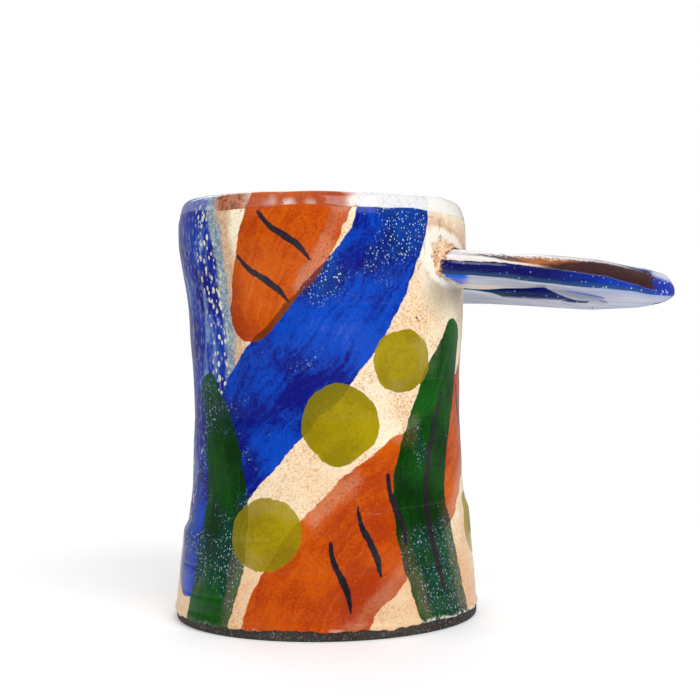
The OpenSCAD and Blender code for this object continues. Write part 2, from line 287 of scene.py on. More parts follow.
@dataclass(frozen=True)
class ClayShape:
    """The wall that everything is laid on. Its overall sizes come from the frame."""

    slab_r: float
    slab_t: float
    rim_top: float
    slab_bevel: float = 0.8
    slab_ledge: float = 0.4
    rim_fall: float = 0.9
    rim_dip: float = 0.5
    waist_in: float = 4.95
    waist_h: float = 52
    mouth_in: float = 1.9
    wall_t: float = 5
    lip_t: float = 3.8
    lip_lean: float = 0.7
    lip_round: float = 2.6
    lean_h: float = 6
    lean: float = 0.85
    oval: float = 0.4
    coil_r: float = 5
    lap_h: float = 3.5
    thin_share: float = 0.85
    foot_swell: Shares = ((0, 1), (0.08, 0.92), (0.165, 0.79), (0.27, 0.65), (0.39, 0.54), (0.51, 0.4),
                          (0.63, 0.21), (0.8, 0.11), (1, 0))
    mouth_swell: Shares = ((0, 0), (0.2, 0.08), (0.38, 0.3), (0.5, 0.42), (0.6, 0.6), (0.7, 0.83),
                           (0.8, 0.98), (0.88, 1), (1, 0.93))
    lean_path: Shares = ((0, 0), (0.1, 0.38), (0.2, 0.68), (0.35, 0.9), (0.5, 1), (0.72, 0.98), (0.82, 0.75),
                         (0.92, 0.25), (1, 0.15))
    unevenness: float = 0.12
    uneven_waves: Sequence[tuple[tuple[int, int], float, int]] = (((9, 7), 1.0, 11), ((23, 17), 0.5, 12))
    slab_uneven: float = 0.3
    seam_below: float = 1.2
    seam_above: float = 0.6
    lean_in_power: float = 1.8
    lip_from: float = 0.3
    hollow_turns: Sequence[int] = (15, 30, 45, 60, 75, 90)
    ledges: Sequence[tuple[float, float, float]] = ((192, 24, 0.5), (350, 28.5, 0.3))
    ledge_turn: float = 38
    ledge_soft: float = 1.6
    ledge_foot: tuple[float, float] = (6, 16)
    ledge_fade: float = 20
    ledge_full: float = 4
    tool_lines: Shares = ((9.5, 0.1), (15.2, 0.2), (24.5, 0.07), (30.2, 0.15), (61, 0.07), (79, 0.06))
    line_w: float = 0.45
    line_wander: float = 0.9
    line_drawn: tuple[float, float] = (-0.3, 0.4)
    wander_seed: int = 90
    drawn_seed: int = 100
    inside_below: float = 0.95

    @classmethod
    def from_frame(cls) -> "ClayShape":
        """Read the overall sizes from the CAD nodes.

        Returns:
            The shape that fits this frame.
        """
        slab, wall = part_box("base_slab")[1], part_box("wall")[1]
        return cls(slab_r=slab.x / MM, slab_t=slab.z / MM, rim_top=wall.z / MM)

    @property
    def rim_h(self) -> float:
        """Height of the rim halfway through its falls and dips."""
        return self.rim_top - self.rim_fall / 2 - self.rim_dip / 2

    @property
    def foot_r(self) -> float:
        """Radius of the wall's foot."""
        return self.slab_r - self.slab_ledge

    @property
    def waist_r(self) -> float:
        """Radius of the wall at the waist."""
        return self.slab_r - self.waist_in

    @property
    def mouth_r(self) -> float:
        """Radius of the wall where it is fullest, under the lip."""
        return self.slab_r - self.mouth_in

    def wall_h(self, angle: Array) -> Array:
        """Height of the wall above the slab, in mm."""
        fall, dip = self.rim_fall / 2 * np.cos(angle), self.rim_dip / 2 * np.cos(2 * angle)
        return self.rim_h - self.slab_t - fall + dip

    def outer_r(self, angle: Array, share: Array) -> Array:
        """Radius of the wall's outside.

        Args:
            angle: Angle round the mug, in radians.
            share: Share of the wall's height.

        Returns:
            Radii in mm, with the small unevenness of a wall made by hand.
        """
        waist = (self.waist_h - self.slab_t) / (self.rim_h - self.slab_t)
        low = self.waist_r + (self.foot_r - self.waist_r) * smooth_lookup(share / waist, self.foot_swell)
        high = self.waist_r + (self.mouth_r - self.waist_r) * smooth_lookup(
            (share - waist) / (1 - waist), self.mouth_swell)
        turn = angle / math.tau
        uneven = sum(size * lattice_noise(turn, share, cells, seed)
                     for cells, size, seed in self.uneven_waves)
        radius = np.where(share < waist, low, high)
        return radius + self.oval * share * np.sin(2 * angle) + self.unevenness * uneven

    def thickness(self, share: Array) -> Array:
        """Thickness of the wall at a share of its height."""
        thin = np.maximum(0, (share - self.thin_share) / (1 - self.thin_share))
        return self.wall_t + (self.lip_t + self.lip_lean - self.wall_t) * thin

    def place(self, angle: Array, radius: Array, height: Array, share: Array) -> Array:
        """Turn radii from the leaning middle line and heights above the table into points."""
        x = self.lean * smooth_lookup(share, self.lean_path) + radius * np.cos(angle)
        return np.stack(np.broadcast_arrays(x, radius * np.sin(angle), height), axis=-1)

    def marked(self, wall: Array, angle: Array, height: Array, share: Array) -> Array:
        """Add the ledges and the tool lines that the hand left.

        Args:
            wall: Radii of the smooth wall.
            angle: Angles in radians, one for each column.
            height: Heights above the table.
            share: Share of the wall's height.

        Returns:
            Radii in mm.
        """
        turn, soft = angle / math.tau, self.ledge_soft
        for side, ledge, step in self.ledges:
            away = (np.degrees(angle) - side + 180) % 360 - 180
            below = smooth_step(*self.ledge_foot, height) * smooth_step(ledge + soft, ledge - soft, height)
            above = smooth_step(ledge - soft, ledge + soft, height)
            above = above * smooth_step(ledge + self.ledge_fade, ledge + self.ledge_full, height)
            wall = wall + step * np.exp(-(away / self.ledge_turn) ** 2) * (below - above)
        for i, (line, depth) in enumerate(self.tool_lines):
            wander = self.line_wander * lattice_noise(turn, share, (5, 1), self.wander_seed + i)
            off = (height - line - wander) / self.line_w
            drawn = smooth_step(*self.line_drawn, lattice_noise(turn, share, (7, 1), self.drawn_seed + i))
            wall = wall - depth * drawn * np.exp(-off * off)
        return wall

    def outside(self, angle: Array, height: Array) -> tuple[Array, Array]:
        """Radius of the bare clay, slab or wall, at heights above the table.

        Args:
            angle: Angles in radians, one for each column.
            height: Heights in mm, as (row, column).

        Returns:
            Radii and shares of the wall's height.
        """
        share = np.clip((height - self.slab_t) / self.wall_h(angle), 0, 1)
        drop = np.clip(self.slab_bevel - height, 0, self.slab_bevel)
        round_edge = self.slab_bevel - np.sqrt(np.maximum(self.slab_bevel ** 2 - drop ** 2, 0))
        uneven = self.slab_uneven * self.unevenness * lattice_noise(angle / math.tau, share, (40, 1), 13)
        slab = self.slab_r - round_edge + uneven
        top = self.slab_t + self.wall_h(angle)
        leaning = np.clip((height - top + self.lean_h) / (self.lean_h - self.lip_round), 0, 1)
        wall = self.outer_r(angle, share) - self.lip_lean * leaning ** self.lean_in_power
        wall = self.marked(wall, angle, height, share)
        blend = smooth_step(self.slab_t - self.seam_below, self.slab_t + self.seam_above, height)
        return slab * (1 - blend) + wall * blend, share

    def lip_rows(self, angle: Array, turns: int = 19) -> tuple[Array, Array]:
        """The round on top of the lip, from outside to inside.

        Args:
            angle: Angles in radians.
            turns: How many rows.

        Returns:
            Radii and heights, as (row, column).
        """
        turn = np.linspace(self.lip_from, math.pi, turns)[:, None]
        middle = self.outer_r(angle, np.ones_like(angle)) - self.lip_lean - self.lip_t / 2
        top = self.slab_t + self.wall_h(angle)
        return middle + self.lip_t / 2 * np.cos(turn), top - self.lip_round + self.lip_round * np.sin(turn)

    def inside_rows(self, angle: Array, rows: int = 60) -> tuple[Array, Array, Array]:
        """The wall's inside, from the lip down to the coil's hollow and the floor.

        Args:
            angle: Angles in radians.
            rows: How many rows down the wall.

        Returns:
            Radii, heights and shares, as (row, column).
        """
        height = self.wall_h(angle)
        lowest = self.coil_r / height
        share = np.linspace(self.inside_below, 0, rows)[:, None]
        share = lowest + share * (1 - lowest)
        radius = self.outer_r(angle, share) - self.thickness(share)
        turn = np.radians(np.array(self.hollow_turns))[:, None]
        foot_share = np.broadcast_to(lowest, angle.shape)
        foot = self.outer_r(angle, foot_share) - self.thickness(foot_share)
        hollow_r = foot - self.coil_r * (1 - np.cos(turn))
        hollow_z = self.slab_t + self.coil_r * (1 - np.sin(turn))
        return (np.concatenate([radius, hollow_r]),
                np.concatenate([self.slab_t + share * height, np.broadcast_to(hollow_z, hollow_r.shape)]),
                np.concatenate([share, np.broadcast_to(foot_share, hollow_r.shape)]))


# The painted design: a generic set of brush strokes

class Slip(Enum):
    """A coloured slip, named as its vertex attribute."""

    WASH = "wash"
    ORANGE = "orange"
    COBALT = "cobalt"
    GREEN = "green"
    OCHRE = "ochre"
    UMBER = "umber"


@dataclass(frozen=True)
class Stroke:
    """One pull of the brush: its path as (angle, height in mm), and its half width at each point."""

    slip: Slip
    path: tuple[tuple[float, float], ...]
    half_widths: tuple[float, ...]
    samples: int = 7

    def line(self) -> tuple[Array, Array]:
        """Sample the path on a smooth curve.

        Returns:
            Points as (angle in radians, height) and half widths.
        """
        points = np.array([(math.radians(a), z, w) for (a, z), w in zip(self.path, self.half_widths)])
        padded = np.concatenate([2 * points[:1] - points[1:2], points, 2 * points[-1:] - points[-2:-1]])
        pieces = []
        for i in range(len(points) - 1):
            p0, p1, p2, p3 = padded[i:i + 4]
            t = np.linspace(0, 1, self.samples, endpoint=i == len(points) - 2)[:, None]
            pieces.append(0.5 * (2 * p1 + (p2 - p0) * t + (2 * p0 - 5 * p1 + 4 * p2 - p3) * t ** 2
                                 + (3 * p1 - p0 - 3 * p2 + p3) * t ** 3))
        curve = np.concatenate(pieces)
        return curve[:, :2], curve[:, 2]


@dataclass(frozen=True)
class Design:
    """Brush strokes laid round the mug."""

    strokes: tuple[Stroke, ...]
    round_r: float = 36.5
    far_off: float = 40.0

    def write(self, piece: bpy.types.Object) -> None:
        """Give each vertex, for each slip, its distance past the stroke's edge and its place in the stroke.

        Args:
            piece: A piece whose vertices lie on the wall's outside.
        """
        points = vertices(piece)
        angle = np.arctan2(points[:, 1], points[:, 0])
        for slip in Slip:
            best = np.zeros((len(points), 3))
            best[:, 0] = self.far_off
            run = 0.0
            for stroke in (s for s in self.strokes if s.slip is slip):
                line, widths = stroke.line()
                for k in range(len(line) - 1):
                    away = (angle - line[k, 0] + math.pi) % math.tau - math.pi
                    dx, dz = away * self.round_r, points[:, 2] - line[k, 1]
                    ex = (line[k + 1, 0] - line[k, 0]) * self.round_r
                    ez = line[k + 1, 1] - line[k, 1]
                    length = math.hypot(ex, ez)
                    t = np.clip((dx * ex + dz * ez) / length ** 2, 0, 1)
                    off = np.hypot(dx - t * ex, dz - t * ez)
                    edge = off - (widths[k] + t * (widths[k + 1] - widths[k]))
                    across = np.sign(dx * ez - dz * ex) * off
                    nearer = edge < best[:, 0]
                    best[nearer] = np.stack([edge, run + t * length, across], axis=1)[nearer]
                    run += length
                run += self.far_off
            write_values(piece, slip.value, best)


def tick(slip: Slip, angle: float, height: float, length: float, width: float, tilt: float) -> Stroke:
    """A short pull of a thin brush, fuller in the middle.

    Args:
        slip: Its slip.
        angle: Angle of its middle.
        height: Height of its middle.
        length: Its length in mm.
        width: Its width in mm.
        tilt: Its tilt from level, in degrees.

    Returns:
        The stroke.
    """
    shares = ((-0.5, 0.2), (-0.25, 0.46), (0.0, 0.5), (0.25, 0.4), (0.5, 0.25))
    bend = (0.02, -0.02, 0.0, 0.03, -0.01)
    mm_per_degree = Design.round_r * math.tau / 360
    run, rise = math.cos(math.radians(tilt)) * length, math.sin(math.radians(tilt)) * length
    return Stroke(slip, tuple((angle + (s * run - b * rise) / mm_per_degree, height + s * rise + b * run)
                              for (s, _), b in zip(shares, bend)),
                  tuple(w * width for _, w in shares))


def disc(slip: Slip, angle: float, height: float, radius: float) -> Stroke:
    """A round dab, a little wider than it is high."""
    return Stroke(slip, ((angle - 1.2, height - 0.4), (angle, height), (angle + 1.2, height + 0.3)),
                  (radius * 0.96, radius, radius * 0.95), samples=3)


def brushed_design() -> Design:
    """Slanted bands, ribbons, round dabs and ticks, in a layout of their own.

    Returns:
        The design.
    """
    strokes = [
        Stroke(Slip.WASH, ((197, 112), (201, 90), (203, 68), (200, 48), (190, 26)), (16, 16.5, 17, 13, 5)),
        Stroke(Slip.COBALT, ((204, 16), (219, 35), (240, 52), (262, 66), (281, 80), (295, 94), (303, 112)),
               (8, 11, 12.6, 12.8, 11.6, 10, 9)),
        Stroke(Slip.COBALT, ((10, 10), (30, 28), (54, 46), (78, 62), (98, 80), (112, 112)),
               (8, 11, 12.6, 12, 10.5, 9)),
        Stroke(Slip.ORANGE, ((252, -8), (268, 12), (290, 27), (314, 37), (338, 47), (360, 60)),
               (12, 13.5, 14, 13.4, 12, 9)),
        Stroke(Slip.ORANGE, ((242, 78), (251, 89), (259, 99), (265, 112)), (7, 10, 12, 12)),
        Stroke(Slip.ORANGE, ((74, -8), (92, 14), (116, 32), (142, 48), (158, 66)), (13, 14, 15, 13, 8)),
        Stroke(Slip.ORANGE, ((54, 84), (64, 96), (72, 112)), (7, 9, 9)),
        Stroke(Slip.GREEN, ((324, -6), (316, 12), (311, 30), (317, 48), (328, 62), (334, 71)),
               (9, 9, 9, 8.5, 7.5, 5)),
        Stroke(Slip.GREEN, ((218, -6), (224, 12), (226, 30), (221, 46), (214, 58)), (7, 8, 8, 7, 5)),
        Stroke(Slip.GREEN, ((138, -6), (130, 14), (131, 34), (141, 54), (146, 76)), (8, 8, 8, 7, 5)),
        *(disc(Slip.OCHRE, *dab) for dab in ((247, 25, 8.5), (276, 51, 9.5), (303, 66, 8.0), (350, 24, 7.5),
                                            (64, 22, 8.0), (90, 42, 8.5), (114, 60, 7.5), (160, 28, 7.5))),
        Stroke(Slip.UMBER, ((329, 97.5), (326.5, 95.5), (324.8, 93), (324.2, 90.5), (323.6, 88)),
               (0.12, 0.17, 0.15, 0.17, 0.1)),
        Stroke(Slip.UMBER, ((322, 84.6), (323, 83.4), (323.4, 81.8)), (0.12, 0.16, 0.1)),
        Stroke(Slip.UMBER, ((309, 76.2), (310.5, 75.4)), (0.35, 0.25)),
        Stroke(Slip.UMBER, ((318, 10), (312.5, 28), (317, 45), (326, 58)), (0.7, 0.9, 0.8, 0.5)),
    ]
    ticks = ((275, 15, 106), (286, 23, 108), (298, 30, 104), (346, 52, 112), (247, 86, 140), (256, 96, 138),
             (94, 16, 106), (106, 26, 108), (118, 34, 104), (64, 96, 140))
    strokes += [tick(Slip.UMBER, angle, height, 17, 1.7, tilt) for angle, height, tilt in ticks]
    return Design(tuple(strokes))


# Shader building

Colour = tuple[float, float, float, float]
Stretch = tuple[float, float, float]
SOCKETS = {"colour": "NodeSocketColor", "number": "NodeSocketFloat", "vector": "NodeSocketVector"}


def srgb(*channels: float) -> Colour:
    """Turn red, green and blue as they are seen on a screen, from 0 to 255, into a linear colour."""
    shares = [channel / 255 for channel in channels]
    return *(s / 12.92 if s <= 0.04045 else ((s + 0.055) / 1.055) ** 2.4 for s in shares), 1.0


class Value:
    """A number, colour or vector that changes over the surface. Sums with it become nodes."""

    def __init__(self, tree: "Tree", socket: bpy.types.NodeSocket) -> None:
        """Keep a node's output and the tree that it is in."""
        self.tree, self.socket = tree, socket

    def __add__(self, other: Any) -> "Value":
        """Add a value or a plain number."""
        return self.tree.math("ADD", self, other)

    def __sub__(self, other: Any) -> "Value":
        """Take away a value or a plain number."""
        return self.tree.math("SUBTRACT", self, other)

    def __rsub__(self, other: float) -> "Value":
        """Take this away from a plain number."""
        return self.tree.math("SUBTRACT", other, self)

    def __mul__(self, other: Any) -> "Value":
        """Multiply by a value or a plain number."""
        return self.tree.math("MULTIPLY", self, other)

    def __truediv__(self, other: Any) -> "Value":
        """Divide by a value or a plain number."""
        return self.tree.math("DIVIDE", self, other)

    def most(self, other: Any) -> "Value":
        """The larger one of two."""
        return self.tree.math("MAXIMUM", self, other)

    def rise(self, low: Any, high: Any, start: Any = 0.0, end: Any = 1.0) -> "Value":
        """Go smoothly from start, where this is low, to end, where it is high."""
        return self.tree.made("ShaderNodeMapRange", {0: self, 1: low, 2: high, 3: start, 4: end},
                              interpolation_type="SMOOTHSTEP")

    def lay(self, mask: Any, colour: Any) -> "Value":
        """Lay a colour over this one where the mask is 1."""
        return self.tree.mix(mask, self, colour)

    def split(self) -> list["Value"]:
        """The three numbers of a vector."""
        return [Value(self.tree, s) for s in self.tree.node("ShaderNodeSeparateXYZ", {0: self}).outputs]


class Tree:
    """Adds nodes to one node tree, and links what they are given."""

    def __init__(self, tree: bpy.types.NodeTree) -> None:
        """Start with no places worked out yet."""
        self.tree = tree
        self.places: dict[Stretch, Value] = {}

    def node(self, kind: str, inputs: dict[Any, Any] | None = None, **settings: Any) -> bpy.types.Node:
        """Add a node.

        Args:
            kind: The node's type.
            inputs: What goes into its sockets, as values or constants.
            **settings: The node's own settings.

        Returns:
            The node.
        """
        new = self.tree.nodes.new(kind)
        for key, setting in settings.items():
            setattr(new, key, setting)
        for key, given in (inputs or {}).items():
            if isinstance(given, Value):
                self.tree.links.new(given.socket, new.inputs[key])
            else:
                new.inputs[key].default_value = given
        return new

    def made(self, kind: str, inputs: dict[Any, Any] | None = None, output: int | str = 0,
             **settings: Any) -> Value:
        """Add a node and take one of its outputs."""
        return Value(self, self.node(kind, inputs, **settings).outputs[output])

    def math(self, operation: str, a: Any, b: Any) -> Value:
        """Work out one number from two."""
        return self.made("ShaderNodeMath", {0: a, 1: b}, operation=operation)

    def mix(self, mask: Any, a: Any, b: Any, blend: str = "MIX") -> Value:
        """Mix two colours. A mask under 0 or over 1 is clamped."""
        return self.made("ShaderNodeMix", {0: mask, 6: a, 7: b}, 2, data_type="RGBA", blend_type=blend,
                         clamp_factor=True)

    def place(self, stretch: Stretch = (1, 1, 1)) -> Value:
        """The surface's place in mm.

        Args:
            stretch: How it is stretched along the axes.

        Returns:
            The place, made once for each stretch.
        """
        if stretch not in self.places:
            here = self.made("ShaderNodeTexCoord", output="Object")
            self.places[stretch] = self.made(
                "ShaderNodeVectorMath", {0: here, 1: tuple(s / MM for s in stretch)}, operation="MULTIPLY")
        return self.places[stretch]

    def noise(self, per_mm: float, detail: float = 3, rough: float = 0.55, stretch: Stretch = (1, 1, 1),
              at: Value | None = None) -> Value:
        """Soft noise from 0 to 1, at the surface's place or at another one."""
        return self.made("ShaderNodeTexNoise", {"Vector": at or self.place(stretch), "Scale": per_mm,
                                                "Detail": detail, "Roughness": rough})

    def specks(self, per_mm: float, size: float, share: float, stretch: Stretch = (1, 1, 1)) -> Value:
        """Scattered specks.

        Args:
            per_mm: How many cells lie on a millimetre.
            size: Radius of a speck as a share of its cell.
            share: Share of the cells that have a speck.
            stretch: How the place is stretched.

        Returns:
            A mask, 1 in a speck.
        """
        cell = self.node("ShaderNodeTexVoronoi", {"Vector": self.place(stretch), "Scale": per_mm})
        chance, girth, _ = Value(self, cell.outputs["Color"]).split()
        away = Value(self, cell.outputs["Distance"]) / (girth * (size * 0.7) + size * 0.3)
        return away.rise(1.0, 0.6) * self.math("LESS_THAN", chance, share)

    def kept(self, name: str, output: str = "Fac") -> Value:
        """A number, or with the output Vector a vector, kept on the vertices."""
        return self.made("ShaderNodeAttribute", None, output, attribute_name=name, attribute_type="GEOMETRY")

    def use(self, group: "Group", **inputs: Any) -> dict[str, Value]:
        """Put a node group into this tree, and give its outputs by name."""
        outputs = self.node("ShaderNodeGroup", inputs, node_tree=group.tree).outputs
        return {socket.name: Value(self, socket) for socket in outputs}


class Group(Tree):
    """A shader node group with named sockets. It gives colours, masks, values and normals only."""

    def __init__(self, name: str, inputs: dict[str, str], outputs: dict[str, str]) -> None:
        """Make the group and its sockets.

        Args:
            name: Name of the group.
            inputs: Name and kind of each input.
            outputs: Name and kind of each output.
        """
        super().__init__(bpy.data.node_groups.new(name, "ShaderNodeTree"))
        for way, sockets in (("INPUT", inputs), ("OUTPUT", outputs)):
            for key, kind in sockets.items():
                self.tree.interface.new_socket(key, in_out=way, socket_type=SOCKETS[kind])
        self.given = self.tree.nodes.new("NodeGroupInput").outputs
        self.result = self.tree.nodes.new("NodeGroupOutput").inputs

    def take(self, *keys: str) -> list[Value]:
        """Some of the group's inputs."""
        return [Value(self, self.given[key]) for key in keys]

    def give(self, **results: Value) -> None:
        """Send values to the group's outputs."""
        for key, result in results.items():
            self.tree.links.new(result.socket, self.result[key])


def sandy_clay_group() -> Group:
    """Fired clay: cloudy colour, sand grains, pinholes and iron specks.

    Returns:
        The group.
    """
    brown, pale, rusty, black = srgb(168, 104, 56), srgb(255, 248, 228), srgb(150, 84, 44), srgb(66, 42, 30)
    group = Group("sandy_clay", {"Light": "colour", "Warm": "colour", "Sand": "number"},
                  {"Color": "colour", "Height": "number"})
    light, warm, sand = group.take("Light", "Warm", "Sand")
    amount = sand * group.noise(0.09).rise(0.4, 0.62, 0.4, 1.0)
    grain, pits = group.noise(1.55, 3, 0.8), group.specks(0.24, 0.075, 0.4)
    colour = light.lay(group.noise(0.045, 5, 0.6).rise(0.4, 0.62), warm)
    colour = colour.lay(grain.rise(0.49, 0.36) * (amount * 0.62), brown)
    colour = colour.lay(grain.rise(0.53, 0.64) * (amount * 0.75), pale)
    colour = colour.lay(group.specks(0.5, 0.14, 0.36) * 0.6, rusty)
    group.give(Color=colour.lay(pits * 0.85, black), Height=grain * 0.4 - pits + group.noise(0.5) * 0.6)
    return group


def brushed_slip_group() -> Group:
    """One colour of slip over what lies under it: its edge, bristle streaks, thinner border and salt specks.

    Returns:
        The group.
    """
    salt_colour, dim_colour = srgb(200, 220, 228), srgb(12, 52, 84)
    numbers = ("Fray", "Wander", "Border", "Streak", "Salt", "Stain")
    colours = ("Under", "Slip", "Deep")
    kinds = dict.fromkeys(colours, "colour") | {"Stroke": "vector"} | dict.fromkeys(numbers, "number")
    group = Group("brushed_slip", kinds, {"Color": "colour", "Cover": "number"})
    under, slip, deep, stroke = group.take(*colours, "Stroke")
    fray, wander, border, streak, salt, stain = group.take(*numbers)
    edge, along, across = stroke.split()
    frayed = edge + ((group.noise(0.7, 4, 0.6) - 0.5) * fray + (group.noise(0.09, 2) - 0.5) * wander)
    # Bristle streaks, clouds and fine grain make the slip thick or thin
    drift = group.noise(0.08, 2) * 7.0
    lane = group.made("ShaderNodeCombineXYZ", {0: across * 0.75 + drift, 1: along * 0.045})
    bristle, fine = group.noise(1.0, 5, 0.6, at=lane), group.noise(1.5, 3, 0.8)
    thick = bristle * 0.26 + (group.noise(0.07) * 0.46 + fine * 0.28)
    tone = slip.lay(thick.rise(0.43, 0.58), deep)
    tone = tone.lay(stain, group.mix(1.0, tone, under, "MULTIPLY"))
    # The border, where the slip is thinner
    patchy = group.noise(0.05, 2).rise(0.46, 0.58) * border
    worn = (frayed + (bristle - 0.5) * 6.0).rise(-4.8, -2.0) * patchy
    body = 1.0 - (thick.rise(0.43, 0.34) * streak).most(worn)
    # Salt: crowded specks in some places, where the slip is dimmer, and stray ones elsewhere
    salted = group.noise(0.05, 4).rise(0.49, 0.6)
    tone = tone.lay(salted * (salt * 0.9) * fine.rise(0.62, 0.4), dim_colour)
    specks = (group.specks(1.75, 0.46, 0.85, (1, 1, 0.85)) * salted).most(group.specks(0.4, 0.09, 0.3))
    tone = tone.lay(specks * salt, salt_colour)
    cover = frayed.rise(0.12, -0.16) * body
    group.give(Color=under.lay(cover, tone), Cover=cover)
    return group


def salt_wash_group() -> Group:
    """A cobalt glaze run down the clay: pale drifts, a column of cream dots and a grey-blue misty border.

    Returns:
        The group.
    """
    group = Group("salt_wash", {"Under": "colour", "Stroke": "vector"},
                  {"Color": "colour", "Cover": "number"})
    under, stroke = group.take("Under", "Stroke")
    sway = (group.noise(0.09, 2, stretch=(1, 1, 0.5)) - 0.5) * 8.0
    rag = (group.noise(0.7, 4, 0.65, (1, 1, 0.6)) - 0.5) * 3.2
    off = stroke.split()[0] + (sway + rag)
    # Sandy clay beside the glaze, with white grains
    sand = group.mix(group.noise(0.8, 3, 0.7).rise(0.4, 0.6), srgb(212, 160, 112), srgb(176, 118, 74))
    colour = under.lay(off.rise(7.0, 3.5) * 0.7, sand)
    colour = colour.lay(group.specks(1.2, 0.4, 0.6) * off.rise(7.5, 4.5) * 0.85, srgb(252, 238, 206))
    # Grey-blue border
    mist = group.mix(group.noise(1.3, 3, 0.75).rise(0.42, 0.6), srgb(92, 130, 162), srgb(176, 190, 190))
    colour = colour.lay(off.rise(2.2, 0.6) * 0.92, mist)
    # Cobalt body with pale drifts
    blue = group.mix(group.noise(0.09).rise(0.4, 0.6), srgb(0, 52, 168), srgb(0, 8, 128))
    blue = blue.lay(group.noise(0.3, 4, 0.6, (1, 1, 0.22)).rise(0.52, 0.66) * 0.66, srgb(134, 164, 210))
    blue = blue.lay(group.noise(1.1, 3, 0.6, (1, 1, 0.13)).rise(0.56, 0.66) * 0.3, srgb(168, 190, 220))
    body = off.rise(-1.2, -2.6)
    colour = colour.lay(body, blue)
    # Cream dots, thick in one column and scattered elsewhere
    column = off.rise(0.2, -1.8) * off.rise(-9.5, -5.5) * group.noise(0.3, 2).rise(0.34, 0.5)
    dots = group.specks(0.95, 0.62, 0.95, (1, 1, 0.62)) * column.most(body * 0.14)
    group.give(Color=colour.lay(dots, srgb(232, 232, 206)), Cover=off.rise(3.0, 1.0))
    return group


def fine_cracks_group() -> Group:
    """Hair cracks, as drying clay gets where a thick joint meets a thin wall.

    Returns:
        The group.
    """
    bend_mm, stretch = 2.2, (1, 1, 0.7)
    group = Group("fine_cracks", {"Size": "number"}, {"Crack": "number"})
    place = group.place(stretch)
    bend = group.made("ShaderNodeTexNoise", {"Vector": place, "Scale": 0.6, "Detail": 3.0}, "Color")
    bend = group.made("ShaderNodeVectorMath", {0: bend, 1: (bend_mm,) * 3}, operation="MULTIPLY")
    bent = group.made("ShaderNodeVectorMath", {0: place, 1: bend}, operation="ADD")
    away = group.made("ShaderNodeTexVoronoi", {"Vector": bent, "Scale": group.take("Size")[0]}, "Distance",
                      feature="DISTANCE_TO_EDGE")
    group.give(Crack=away.rise(0.035, 0.008) * group.noise(0.35, 2, stretch=stretch).rise(0.48, 0.56))
    return group


@dataclass
class Effects:
    """The node groups that the finishes share."""

    clay: Group = field(default_factory=sandy_clay_group)
    slip: Group = field(default_factory=brushed_slip_group)
    cracks: Group = field(default_factory=fine_cracks_group)
    wash: Group = field(default_factory=salt_wash_group)


# Finishes

Surface = tuple[Value, Value, Value]


def cleared(owner: Any) -> Tree:
    """Clear the nodes of a material or a world.

    Args:
        owner: The material or the world.

    Returns:
        Its tree, empty.
    """
    owner.use_nodes = True
    owner.node_tree.nodes.clear()
    return Tree(owner.node_tree)


@dataclass(frozen=True)
class Finish:
    """One material round a Principled shader. Each kind of finish says how its surface looks."""

    effects: Effects
    name: str
    ior: float = 1.5
    specular: float = 0.3

    def surface(self, tree: Tree) -> Surface:
        """Colour, roughness, and height in mm."""
        raise NotImplementedError

    def material(self) -> bpy.types.Material:
        """Build the material.

        Returns:
            The material.
        """
        material = bpy.data.materials.new(self.name)
        tree = cleared(material)
        colour, rough, height = self.surface(tree)
        bump = tree.made("ShaderNodeBump", {"Height": height, "Strength": 1.0, "Distance": MM})
        shader = tree.made("ShaderNodeBsdfPrincipled", {
            "Base Color": colour, "Roughness": rough, "Normal": bump, "IOR": self.ior,
            "Specular IOR Level": self.specular})
        tree.node("ShaderNodeOutputMaterial", {"Surface": shader})
        return material


@dataclass(frozen=True)
class SlipTone:
    """How one slip looks: its colours, how ragged its edge is, and how much shows through it."""

    slip: Slip
    colour: Colour
    deep: Colour
    fray: float
    wander: float
    border: float
    streak: float
    salt: float
    stain: float


SLIP_TONES = (
    SlipTone(Slip.COBALT, srgb(0, 74, 204), srgb(0, 8, 130), 0.9, 4.0, 0.0, 0.04, 0.8, 0.25),
    SlipTone(Slip.ORANGE, srgb(214, 98, 0), srgb(182, 66, 0), 0.9, 4.0, 0.18, 0.08, 0.03, 0.66),
    SlipTone(Slip.GREEN, srgb(4, 92, 0), srgb(0, 56, 0), 0.8, 3.5, 0.1, 0.05, 0.55, 0.35),
    SlipTone(Slip.OCHRE, srgb(172, 154, 0), srgb(146, 130, 0), 0.8, 4.5, 0.08, 0.06, 0.02, 0.28),
    SlipTone(Slip.UMBER, srgb(52, 44, 54), srgb(30, 24, 32), 0.9, 0.5, 0.0, 0.3, 0.0, 0.1),
)


@dataclass(frozen=True)
class PaintedClay(Finish):
    """A finish that starts from every slip laid over sandy clay."""

    light: Colour = srgb(255, 242, 210)
    warm: Colour = srgb(248, 212, 168)
    toast: Colour = srgb(238, 196, 158)
    sand: float = 1.0

    def painted(self, tree: Tree) -> Surface:
        """Lay every slip over the clay, which is toasted towards the foot.

        Args:
            tree: The material's tree.

        Returns:
            Colour, how much slip covers, and the clay's height.
        """
        clay = tree.use(self.effects.clay, Light=self.light, Warm=self.warm, Sand=self.sand)
        toasted = (tree.place().split()[2] + tree.noise(0.06) * 40.0).rise(52, 26) * 0.62
        colour = clay["Color"].lay(toasted, tree.mix(1.0, clay["Color"], self.toast, "MULTIPLY"))
        wash = tree.use(self.effects.wash, Under=colour, Stroke=tree.kept(Slip.WASH.value, "Vector"))
        colour, cover = wash["Color"], wash["Cover"]
        for tone in SLIP_TONES:
            laid = tree.use(
                self.effects.slip, Under=colour, Slip=tone.colour, Deep=tone.deep,
                Stroke=tree.kept(tone.slip.value, "Vector"), Fray=tone.fray, Wander=tone.wander,
                Border=tone.border, Streak=tone.streak, Salt=tone.salt, Stain=tone.stain)
            colour, cover = laid["Color"], cover.most(laid["Cover"])
        return colour, cover, clay["Height"]


